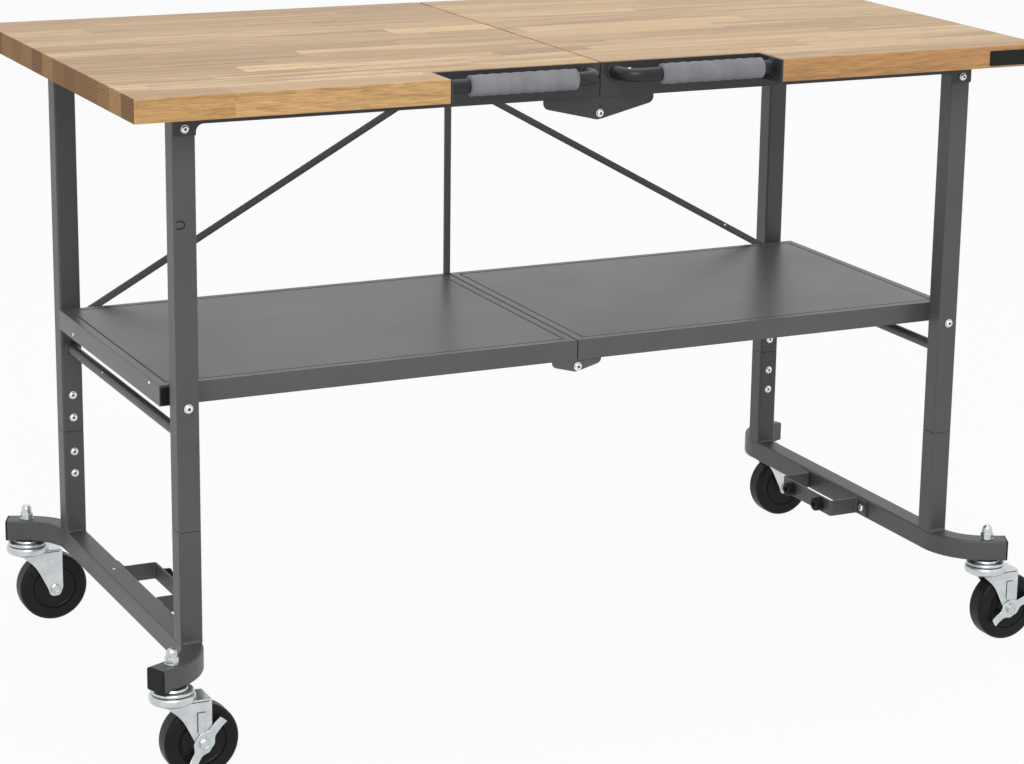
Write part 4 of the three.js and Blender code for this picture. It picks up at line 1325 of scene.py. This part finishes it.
def socket_shade_disc(radius, height):
    """A thin dark disc over the floor of a button head's socket: painted shade for the socket's depth."""
    floor = height - SOCKET_DEPTH
    return cylinder(radius * SOCKET - SOCKET_SLACK, floor - SOCKET_SKIN, floor + SOCKET_SKIN)


def bolt_heads(name, radius, height, places, axis, facing, node):
    """Button heads at some places, with painted shade on their socket floors, beside what else stands for
    the node.
    """
    # The second piece is a dark disc in frame paint on each socket floor: painted shade.
    for kind, profile, finish in (
        ("heads", button_head, bolt_zinc),
        ("socket_shade", socket_shade_disc, frame_paint),
    ):
        shells = [lathe(profile(radius, height), place, axis, facing, 28) for place in places]
        add_piece(f"{name}_{kind}", shells, finish, node, replaced=False)


print("bolt heads: sockets", SOCKET_DEPTH, "mm deep")

# %% [markdown]
# Each pivot has a pin through the sheets it joins. The pin and its nut stand for the CAD node, and
# the head comes from the function above. The nut is the same turned surface with six sides.

# %% Pivot bolts
PIN = 4.0
NUT = ((5.4, 0), (6.2, 0.6), (6.2, 4))
HEAD_RADIUS = {"top": 4.7, "shelf": 5.3}
HEAD_HEIGHT = 3.6
LOW_HEAD_HEIGHT = 2.4


def pivot(node, end):
    """A turned pin from the nut to the head's seat, a six-sided nut inside and a head outside."""
    low, high = span(node)
    centre = middle(node) * [1, 0, 1]
    inner, outer = sorted(np.abs([low[1], high[1]]))
    height = LOW_HEAD_HEIGHT if node == "shelf_pin_rear" else HEAD_HEIGHT
    seat = outer - height
    nut = [(0, inner)] + [(r, inner + h) for r, h in NUT] + [(0, inner + NUT[-1][1])]
    shells = [lathe(cylinder(PIN, inner, seat), centre, "y", end, 20), lathe(nut, centre, "y", end, 24, 6)]
    add_piece(f"{node}_bolt", shells, zinc, node)
    radius = HEAD_RADIUS[node.split("_")[0]]
    bolt_heads(node, radius, height, [centre + [0, end * seat, 0]], "y", end, node)


for end_name, end in ENDS.items():
    for level in HEAD_RADIUS:
        pivot(f"{level}_pin_{end_name}", end)
        for name in SIDES:
            pivot(f"{level}_pivot_{end_name}_{name}", end)
print("pivots:", len(HEAD_RADIUS) * len(ENDS) * (1 + len(SIDES)))

# %% [markdown]
# Smaller fasteners hold the frames together: four bolts through each splice, seen on the inner faces
# of the legs, and one at each end of every fold stop. They are the same button heads, set by their
# height above the splice or their distance from the strip's end.

# %% Frame fasteners
SPLICE_BOLTS = {"upper": (53.5, 20.5), "lower": (-30, -62)}
SPLICE_HEAD = 2.4
STRIP_HEAD = 2.6
STRIP_BOLT = 13
FASTENER = 4.9


def splice_bolts(name, end_name):
    """Two heads above the splice ride with the upper leg, two below it with the lower frame."""
    nodes = {"upper": f"upper_leg_{end_name}_{name}", "lower": f"lower_frame_{name}"}
    low, high = span(nodes["upper"])
    end = ENDS[end_name]
    inner = end * min(abs(low[1]), abs(high[1]))
    x = middle(nodes["upper"])[0]
    for level, offsets in SPLICE_BOLTS.items():
        places = [(x, inner, low[2] + z) for z in offsets]
        title = f"splice_{level}_{end_name}_{name}"
        bolt_heads(title, FASTENER, SPLICE_HEAD, places, "y", -end, nodes[level])


def strip_bolts(name, side):
    """One head near each end of the fold stop's strip, on its inner face."""
    node = f"bumper_bracket_{name}"
    low, high = span(node)
    seat = side * (reach(node)[1] - STRIP)
    places = [(seat, y, middle(node)[2]) for y in (low[1] + STRIP_BOLT, high[1] - STRIP_BOLT)]
    bolt_heads(f"strip_{name}", FASTENER, STRIP_HEAD, places, "x", -side, node)


for name, side in SIDES.items():
    strip_bolts(name, side)
    for end_name in ENDS:
        splice_bolts(name, end_name)
print("fasteners:", len(made), "pieces so far")

# %% [markdown]
# A few single rivets and screws show on the bench. Each is a small dome on its node: a place, and the
# axis and direction in which it faces. A table of places keeps them easy to move.

# %% Single rivets
SMALL_RIVET = (0.8, 0.0, 0.7)
SMALL_RIVETS = {
    "cross_tube_left": ((-577.8, 74, 434.1), "z", 1),
    "lower_frame_left": ((-574.5, 56, 156), "z", 1),
    "handle_right": ((27.0, -296.5, 874.9), "z", 1),
    "brace_right": ((481, 228.4, 522), "y", -1),
}

for node, (place, axis, facing) in SMALL_RIVETS.items():
    rivet = lathe(rivet_head(*SMALL_RIVET), place, axis, facing, 16)
    add_piece(f"rivet_{node}", [rivet], bolt_zinc, node, replaced=False)
print("single rivets:", len(SMALL_RIVETS))

# %% [markdown]
# The front left leg has a spring latch: a tongue cut free of the tube's wall on three sides. Cutting
# the tube with a Boolean would spoil its clean faces for a line this thin, so the shade in the cut is
# painted on as a dark sheet: two arms joined by a half circle.

# %% Spring latch
LATCH_HALF = 5.5
LATCH_ARM = 6.5
LATCH_LINE = 1.7
LATCH_FROM_MIDDLE = 12
LATCH_HEIGHT = 707
LATCH_PROUD = 0.2
LATCH_SUNK = 0.4
LATCH_RIM = 0.1


def latch_cut_shade(node):
    """A painted shade line between two U-shaped rows, each two arms and a half circle (r cos t, r sin t).
    """
    front = span(node)[0][1]
    tail = np.array([middle(node)[0] - LATCH_FROM_MIDDLE, LATCH_HEIGHT])
    turn = np.linspace(-np.pi / 2, np.pi / 2, 12)
    bow = np.column_stack([np.cos(turn), np.sin(turn)])
    outer, inner = (
        tail + np.vstack([[(0, -radius)], radius * bow + [LATCH_ARM, 0], [(0, radius)]])
        for radius in (LATCH_HALF, LATCH_HALF - LATCH_LINE)
    )
    outline = np.vstack([outer, inner[::-1]])
    line = prism(outline, front - LATCH_PROUD, front + LATCH_SUNK, LATCH_RIM, "y")
    # The black sheet is painted shade: the dark of the cut round the tongue.
    add_piece("latch_cut_shade", [line], plug_plastic, node, replaced=False)


latch_cut_shade("upper_leg_front_left")
print("latch:", 2 * LATCH_HALF, "mm high")

# %% [markdown]
# Casters come next, each in a few turned or stamped pieces. The stem carries the upper raceway and
# ends in a cap nut above the tube: a flange, a hexagon and a dome. All of it is round but the hexagon,
# so turned profiles give it with true edges and few faces.

# %% Caster stems
CORNERS = [f"{end_name}_{name}" for name in SIDES for end_name in ENDS]
RACE = ((2.5, 0), (0.6, 0.8), (0, 2.3), (0.6, 4.0), (2.6, 5.2), (6, 5.6), (8, 5.8), (8.4, 6.6), (9.2, 7.8))
NECK = 6
NECK_FOOT = 5
NUT_FLANGE = ((9.6, 0), (9.6, 0.9), (8.2, 1.5))
NUT_SINK = 1
HEX_FLATS = 7.9
HEX_HEIGHT = 9.4
HEX_CHAMFER = (0.8, 0.7)
CAP_DOME = 7.3
CAP_NUT = 21


def caster_stem(place):
    """Turned about the stem's axis: raceway (radius less inset, height), neck, flange, nut and cap."""
    node = f"caster_stem_{place}"
    low, high = span(node)
    radius = (high[0] - low[0]) / 2
    nut = high[2] - low[2] - CAP_NUT
    top, shoulder = nut + CAP_NUT, nut + HEX_HEIGHT
    race = [(0, 0)] + [(radius - inset, up) for inset, up in RACE] + [(0, RACE[-1][1])]
    neck = cylinder(NECK, NECK_FOOT, nut + NUT_SINK)
    flange = [(0, nut)] + [(r, nut + up) for r, up in NUT_FLANGE] + [(0, nut + NUT_FLANGE[-1][1])]
    cap = [(0, shoulder - NUT_SINK), (CAP_DOME, shoulder - NUT_SINK)]
    cap += dome(CAP_DOME, top - CAP_DOME, top, 8)
    hexagon = [(0, nut + NUT_SINK), (HEX_FLATS, nut + NUT_SINK), (HEX_FLATS, shoulder - HEX_CHAMFER[1])]
    hexagon += [(HEX_FLATS - HEX_CHAMFER[0], shoulder), (0, shoulder)]
    foot = [*middle(node)[:2], low[2]]
    shells = [lathe(profile, foot, "z") for profile in (race, neck, flange, cap)]
    shells.append(lathe(hexagon, foot, "z", 1, 48, 6))
    add_piece(f"{node}_zinc", shells, zinc, node)


for place in CORNERS:
    caster_stem(place)
print("caster stems:", len(CORNERS))

# %% [markdown]
# The fork is pressed from one sheet: a round crown below the raceway, a deck behind it, and two
# cheeks that taper to the axle. Bending a sheet by code is long, so the crown is turned and the deck
# and cheeks are outlines carried through the sheet; they overlap inside, where nobody looks.

# %% Caster forks
CROWN = 13.4
CROWN_HUB = 4
CROWN_LOWER = ((4, 1), (1, 3), (0, 5.5))
CROWN_UPPER = ((0, 3.4), (1.2, 1), (3, 0))
DECK = 5
DECK_CORNER = 4
DECK_RIM = 1.6
FORK_OUTER = 19.8
FORK_SHEET = 3.0
CHEEK_TOP = np.array([(-20, 4), (-13, -1), (6, -18)])
CHEEK_EYE = np.array([(-11, 1), (-7, -12), (7, -12), (12, 0)])
CHEEK_CORNERS = [2, 6, 60, 8, 7, 7, 8, 2]
CHEEK_RIM = 1.2


def fork_crown(radius, low, top):
    """A profile from the hub below, out to the rim and over it: radius less inset at each height."""
    lower = [(radius - inset, low + up) for inset, up in CROWN_LOWER]
    upper = [(radius - inset, top - down) for inset, down in CROWN_UPPER]
    return [(0, low - CROWN_HUB), (radius / 2, low - CROWN_HUB)] + lower + upper + [(0, top)]


def caster_fork(place):
    """A turned crown, a level deck, and on either side a cheek from the crown's foot to the axle."""
    node = f"caster_fork_{place}"
    low, high = span(node)
    x, y, _ = middle(f"caster_stem_{place}")
    axle = middle(f"caster_axle_{place}")[[0, 2]]
    foot = high[2] - CROWN
    back = axle[0] + CHEEK_EYE[-1][0]
    shells = [lathe(fork_crown(x - low[0], foot, high[2]), (x, y, 0), "z", steps=56)]
    deck = rectangle((x, y - FORK_OUTER), (back, y + FORK_OUTER), DECK_CORNER)
    shells.append(prism(deck, foot, foot + DECK, DECK_RIM))
    corner = [(back, foot + CHEEK_TOP[0][1])]
    cheek = rounded(np.vstack([CHEEK_TOP + [x, foot], CHEEK_EYE + axle, corner]), CHEEK_CORNERS)
    for flip in (-1, 1):
        inner, outer = rising(flip, FORK_OUTER - FORK_SHEET, FORK_OUTER)
        shells.append(prism(cheek, y + inner, y + outer, CHEEK_RIM, "y"))
    add_piece(f"{node}_zinc", shells, zinc, node)


for place in CORNERS:
    caster_fork(place)
print("caster forks:", 2 * FORK_OUTER, "mm wide")

# %% [markdown]
# On the braked casters a tongue is pressed out of the fork's front cheek to stop the lever. A slot
# cut into the cheek would need a Boolean; a thin grey sheet reads as the slot's shadow, and the
# tongue stands on it.

# %% Fork tongues
BRAKED = [place for place in CORNERS if place.startswith("front")]
SLOT_SHADOW = ((-8.7, 15), (3, 42.8))
SLOT_SHADOW_SHAPE = (1, 0.15, 0.1)
TONGUE = ((-7.3, 13), (3.6, 41.5))
TONGUE_SHAPE = (1.5, 1, 0.6)
TONGUE_ROOT = 1


def on_cheek(place, corners, shape):
    """A rounded rectangle about the axle, carried from inside the cheek to stand proud of it."""
    corner, proud, rim = shape
    axle = middle(f"caster_axle_{place}")[[0, 2]]
    cheek = middle(f"caster_stem_{place}")[1] - FORK_OUTER
    return prism(rectangle(*(axle + corners), corner), cheek - proud, cheek + TONGUE_ROOT, rim, "y")


for place in BRAKED:
    node = f"caster_fork_{place}"
    # The grey sheet under the tongue is painted shadow: the dark of the slot round it.
    slot_shadow, tongue = on_cheek(place, SLOT_SHADOW, SLOT_SHADOW_SHAPE), on_cheek(place, TONGUE, TONGUE_SHAPE)
    add_piece(f"fork_slot_shadow_{place}", [slot_shadow], frame_paint, node, replaced=False)
    add_piece(f"fork_tongue_{place}", [tongue], zinc, node, replaced=False)
print("fork tongues:", len(BRAKED))

# %% [markdown]
# The wheel is moulded in one piece with a flat tread and a groove round its side. One turned profile
# holds all of it: from the bore out over the hub, down into the dished web, over the groove to the
# tread's rounded shoulder, and the same again mirrored.

# %% Caster wheels
WHEEL_HALF = 15.0
WHEEL_SIDE = np.array([
    (5.2, 1.3), (12, 1.3), (13, 0.9), (14, -1.2), (17, -2.2), (26, -2.2), (28.5, -1.4),
    (29.6, -0.2), (30.4, -0.2), (31.0, -1.6), (31.8, -1.6), (32.4, 0),
])
TREAD_ROUND = 6
TREAD_LEAD = 1


def caster_wheel(place):
    """Side (radius, out from the flank), shoulder (r + R sin t, h + R cos t), and both mirrored."""
    node = f"caster_wheel_{place}"
    low, high = span(node)
    shoulder, flank = (high[2] - low[2]) / 2 - TREAD_ROUND, WHEEL_HALF - TREAD_ROUND
    turn = np.linspace(0, np.pi / 2, 7)
    tread = np.column_stack([np.sin(turn), np.cos(turn)]) * TREAD_ROUND + [shoulder, flank]
    half = np.vstack([WHEEL_SIDE + [0, WHEEL_HALF], [(shoulder - TREAD_LEAD, WHEEL_HALF)], tread])
    profile = np.vstack([half, half[::-1] * [1, -1], half[:1]])
    add_piece(f"{node}_rubber", [lathe(profile, middle(node), "y", steps=72)], wheel_rubber, node)


for place in CORNERS:
    caster_wheel(place)
print("wheels:", 2 * WHEEL_HALF, "mm wide")

# %% [markdown]
# A rod through the fork carries the wheel, with a washer and a hexagon head with a dimple on either
# side. They are turned like the pivots' bolts, only with a profile of their own.

# %% Caster axles
AXLE = 5
AXLE_END = 1
AXLE_SEAT = 4
AXLE_WASHER = (8, -0.2, 0.9)
AXLE_HEAD = [
    (0, 0.8), (6.4, 0.8), (6.4, 3.2), (5.6, 4.0), (4.2, 4.0), (3.9, 1.4), (2.9, 1.4), (2.6, 3.4), (0, 3.7),
]


def caster_axle(place):
    """A turned rod, and at both ends a turned washer and a six-sided head."""
    node = f"caster_axle_{place}"
    low, high = span(node)
    centre = middle(node) * [1, 0, 1]
    shells = [lathe(cylinder(AXLE, low[1] + AXLE_END, high[1] - AXLE_END), centre, "y", steps=24)]
    for seat, out in ((low[1] + AXLE_SEAT, -1), (high[1] - AXLE_SEAT, 1)):
        place_of_head = centre + [0, seat, 0]
        shells.append(lathe(cylinder(*AXLE_WASHER), place_of_head, "y", out, 32))
        shells.append(lathe(AXLE_HEAD, place_of_head, "y", out, 48, 6))
    add_piece(f"{node}_zinc", shells, zinc, node)


for place in CORNERS:
    caster_axle(place)
print("axles:", 2 * AXLE, "mm thick")

# %% [markdown]
# The brake lever is a strip of sheet with two arms of unequal length. It is widest round the axle,
# kinks a little there, and its tips are bent outwards for the shoe that presses them. An extruded
# outline would stay flat, so the strip's section is carried along it and lifted at the tips.

# %% Brake levers
LEVER_TURN = {"front_left": 50, "front_right": 22}
LEVER_KINK = 10
LEVER_LONG = 40
LEVER_SHORT = 35
LEVER_HALF = 5.8
LEVER_HUB = 12.5
LEVER_SWELL = (5, 18)
LEVER_RIM = 0.8
TIP_LENGTH = 9
TIP_LIFT = 2.6


def lever_stations():
    """Places along a lever from the tip of its short arm to the tip of its long arm."""
    swell = np.linspace(-LEVER_SWELL[1], LEVER_SWELL[1], 25)
    marks = np.array([0, LEVER_RIM, TIP_LENGTH, TIP_LENGTH + 1])
    return np.sort(np.concatenate([swell, marks - LEVER_SHORT, LEVER_LONG - marks]))


def lever_strip(hub, turn, low, high):
    """hub + s d(s) + v n(s): d turns by the kink at the hub, v reaches the half width, tips bend out."""
    s = lever_stations()
    length = np.where(s < 0, LEVER_SHORT, LEVER_LONG)
    bulge = np.clip((np.abs(s) - LEVER_SWELL[0]) / (LEVER_SWELL[1] - LEVER_SWELL[0]), 0, 1)
    half = LEVER_HALF + (LEVER_HUB - LEVER_HALF) * (1 + np.cos(np.pi * bulge)) / 2
    trim = LEVER_RIM * np.clip(1 - (length - np.abs(s)) / LEVER_RIM, 0, 1)
    lift = -TIP_LIFT * np.clip((np.abs(s) - length + TIP_LENGTH) / TIP_LENGTH, 0, 1)
    heading = turn + np.radians(LEVER_KINK) * np.clip(0.5 - s / LEVER_HUB, 0, 1)
    along = np.column_stack([np.cos(heading), np.sin(heading)])
    across = np.column_stack([-along[:, 1], along[:, 0]])
    inset = np.array([0, LEVER_RIM, LEVER_RIM, 0, 0, LEVER_RIM, LEVER_RIM, 0])
    flank = np.array([-1, -1, 1, 1, 1, 1, -1, -1])
    depth = np.array([LEVER_RIM, 0, 0, LEVER_RIM, -LEVER_RIM, 0, 0, -LEVER_RIM])
    outer_face = np.arange(8) < 4
    sheet = np.where(outer_face, low, high) + depth
    inward = np.where(outer_face, 1, -1)
    wide = flank * (half[:, None] - inset - trim[:, None])
    flat = (hub + s[:, None] * along)[:, None] + wide[..., None] * across[:, None]
    tall = sheet + lift[:, None] + trim[:, None] * inward
    return grid(np.stack([flat[..., 0], tall, flat[..., 1]], axis=-1), ring=True, caps=True)


for place in BRAKED:
    node = f"brake_lever_{place}"
    low, high = span(node)
    axle = middle(f"caster_axle_{place}")[[0, 2]]
    lever = lever_strip(axle, np.radians(LEVER_TURN[place]), low[1], high[1])
    add_piece(f"{node}_zinc", [lever], zinc, node)
print("pieces made:", len(made))

# %% [markdown]
# The camera was worked out from some twenty points of the bench whose places are known: pivots,
# corners of the top, wheels. It could be aimed by eye, but a fit places it to a few pixels. It stands
# to the left, a little above the top, with a long lens. The picture was cropped off centre, so the
# lens has a small shift.

# %% Camera
IMAGE_WIDTH, IMAGE_HEIGHT = 1024, 764
CAMERA_PLACE = (-1719.0, -3585.5, 1473.1)
PITCH, ROLL, HEADING = 0.2587, 0.0211, -0.4786
FOCAL_PIXELS = 2871.7
OPTICAL_CENTRE = (596.7, 353.8)
SENSOR = 36.0
FARTHEST = 200


def place_camera():
    """A camera whose axes are right, up and back, turned by heading, pitch and roll."""
    ahead = np.array([
        -np.sin(HEADING) * np.cos(PITCH), np.cos(HEADING) * np.cos(PITCH), -np.sin(PITCH),
    ])
    level = np.array([np.cos(HEADING), np.sin(HEADING), 0.0])
    upright = np.cross(level, ahead)
    right = np.cos(ROLL) * level + np.sin(ROLL) * upright
    up = np.cos(ROLL) * upright - np.sin(ROLL) * level
    lens = bpy.data.cameras.new("bench_camera")
    lens.sensor_fit = "HORIZONTAL"
    lens.sensor_width = SENSOR
    lens.lens = FOCAL_PIXELS / IMAGE_WIDTH * SENSOR
    lens.shift_x = (IMAGE_WIDTH / 2 - OPTICAL_CENTRE[0]) / IMAGE_WIDTH
    lens.shift_y = (OPTICAL_CENTRE[1] - IMAGE_HEIGHT / 2) / IMAGE_WIDTH
    lens.clip_end = FARTHEST
    camera = bpy.data.objects.new("bench_camera", lens)
    bpy.context.scene.collection.objects.link(camera)
    turn = Matrix(np.column_stack([right, up, -ahead]).tolist()).to_4x4()
    where = (np.array(CAMERA_PLACE) + [SEAM_X, 0, 0]) * MM
    camera.matrix_world = Matrix.Translation(where.tolist()) @ turn
    bpy.context.scene.camera = camera
    return lens


print("camera lens:", round(place_camera().lens, 1), "mm")

# %% [markdown]
# The studio is a pale floor under large soft lamps. The background is white because the floor and the
# world are white to the camera and to reflections, not because more light falls on the bench. The
# floor keeps a faint shadow: part of what the camera sees of it is still lit by the lamps.

# %% Floor and backdrop
FLOOR_SIZE = 60.0
FLOOR_DROP = 0.0005
FLOOR_SHADE = 0.06
FLOOR_GREY = (0.82, 0.82, 0.82, 1)
AMBIENT = 0.46


def white_to_camera(tree):
    """1 for camera, glossy and transmission rays, 0 for the rest: the largest of three flags."""
    camera, glossy, through = (
        Socket(tree, None).node("LightPath", output=f"Is {kind} Ray")
        for kind in ("Camera", "Glossy", "Transmission")
    )
    return camera.math("MAXIMUM", camera.math("MAXIMUM", camera, glossy), through)


def pale_floor():
    """A square just below the wheels, mostly white light to the camera and grey paint to the rest."""
    corners = np.array([(-1, -1), (1, -1), (1, 1), (-1, 1)]) * FLOOR_SIZE / 2
    mesh = bpy.data.meshes.new("pale_floor")
    mesh.from_pydata([(x, y, -FLOOR_DROP) for x, y in corners.tolist()], [], [(0, 1, 2, 3)])
    matt = {"Base_Color": FLOOR_GREY, "Roughness": 0.9, "Specular_IOR_Level": 0.0}
    material, shader, place = new_finish("pale_floor", **matt)
    paint = Socket(place.tree, shader.outputs[0])
    share = white_to_camera(place.tree) * (1 - FLOOR_SHADE)
    blend = share.node("MixShader", inputs={0: share, 1: paint, 2: share.node("Emission")})
    feed(place.tree.nodes["Material Output"], Surface=blend)
    mesh.materials.append(material)
    floor = bpy.data.objects.new("pale_floor", mesh)
    bpy.context.scene.collection.objects.link(floor)


def white_world():
    """Strength 1 to the camera and to reflections, and the ambient level to all other rays."""
    world = bpy.data.worlds.new("studio")
    world.use_nodes = True
    background = world.node_tree.nodes["Background"]
    background.inputs["Color"].default_value = (1, 1, 1, 1)
    feed(background, Strength=white_to_camera(world.node_tree) * (1 - AMBIENT) + AMBIENT)
    bpy.context.scene.world = world


pale_floor()
white_world()
print("floor:", FLOOR_SIZE, "m wide, ambient light", AMBIENT)

# %% [markdown]
# Three area lamps light the bench: a large key from the front left, a weak fill from the right and a
# soft top lamp. Small lamps would throw hard shadows, which a studio avoids. Each lamp looks back
# along its own axis, so the axis is the direction from its target to its place.

# %% Lamps
LAMPS = {
    "key": ((-1.8, -3.8, 3.5), (-0.1, 0.0, 0.6), 2.6, 119.0),
    "fill": ((3.4, -2.6, 2.2), (0.1, 0.0, 0.5), 2.4, 4.0),
    "top": ((0.2, 0.6, 4.2), (0.0, 0.0, 0.8), 3.0, 42.0),
}


def soft_lamp(name, place, target, size, power):
    """A square lamp whose axes are level, upright and back towards the lamp from its target."""
    lamp = bpy.data.lights.new(name, "AREA")
    lamp.shape = "SQUARE"
    lamp.size = size
    lamp.energy = power
    holder = bpy.data.objects.new(name, lamp)
    bpy.context.scene.collection.objects.link(holder)
    back = unit(np.array(place) - np.array(target))
    level = unit(np.cross(UP, back))
    turn = Matrix(np.column_stack([level, np.cross(back, level), back]).tolist()).to_4x4()
    holder.matrix_world = Matrix.Translation(place) @ turn


for name, setting in LAMPS.items():
    soft_lamp(name, *setting)
bpy.context.scene.view_settings.view_transform = "Standard"
print("studio:", len(LAMPS), "lamps")
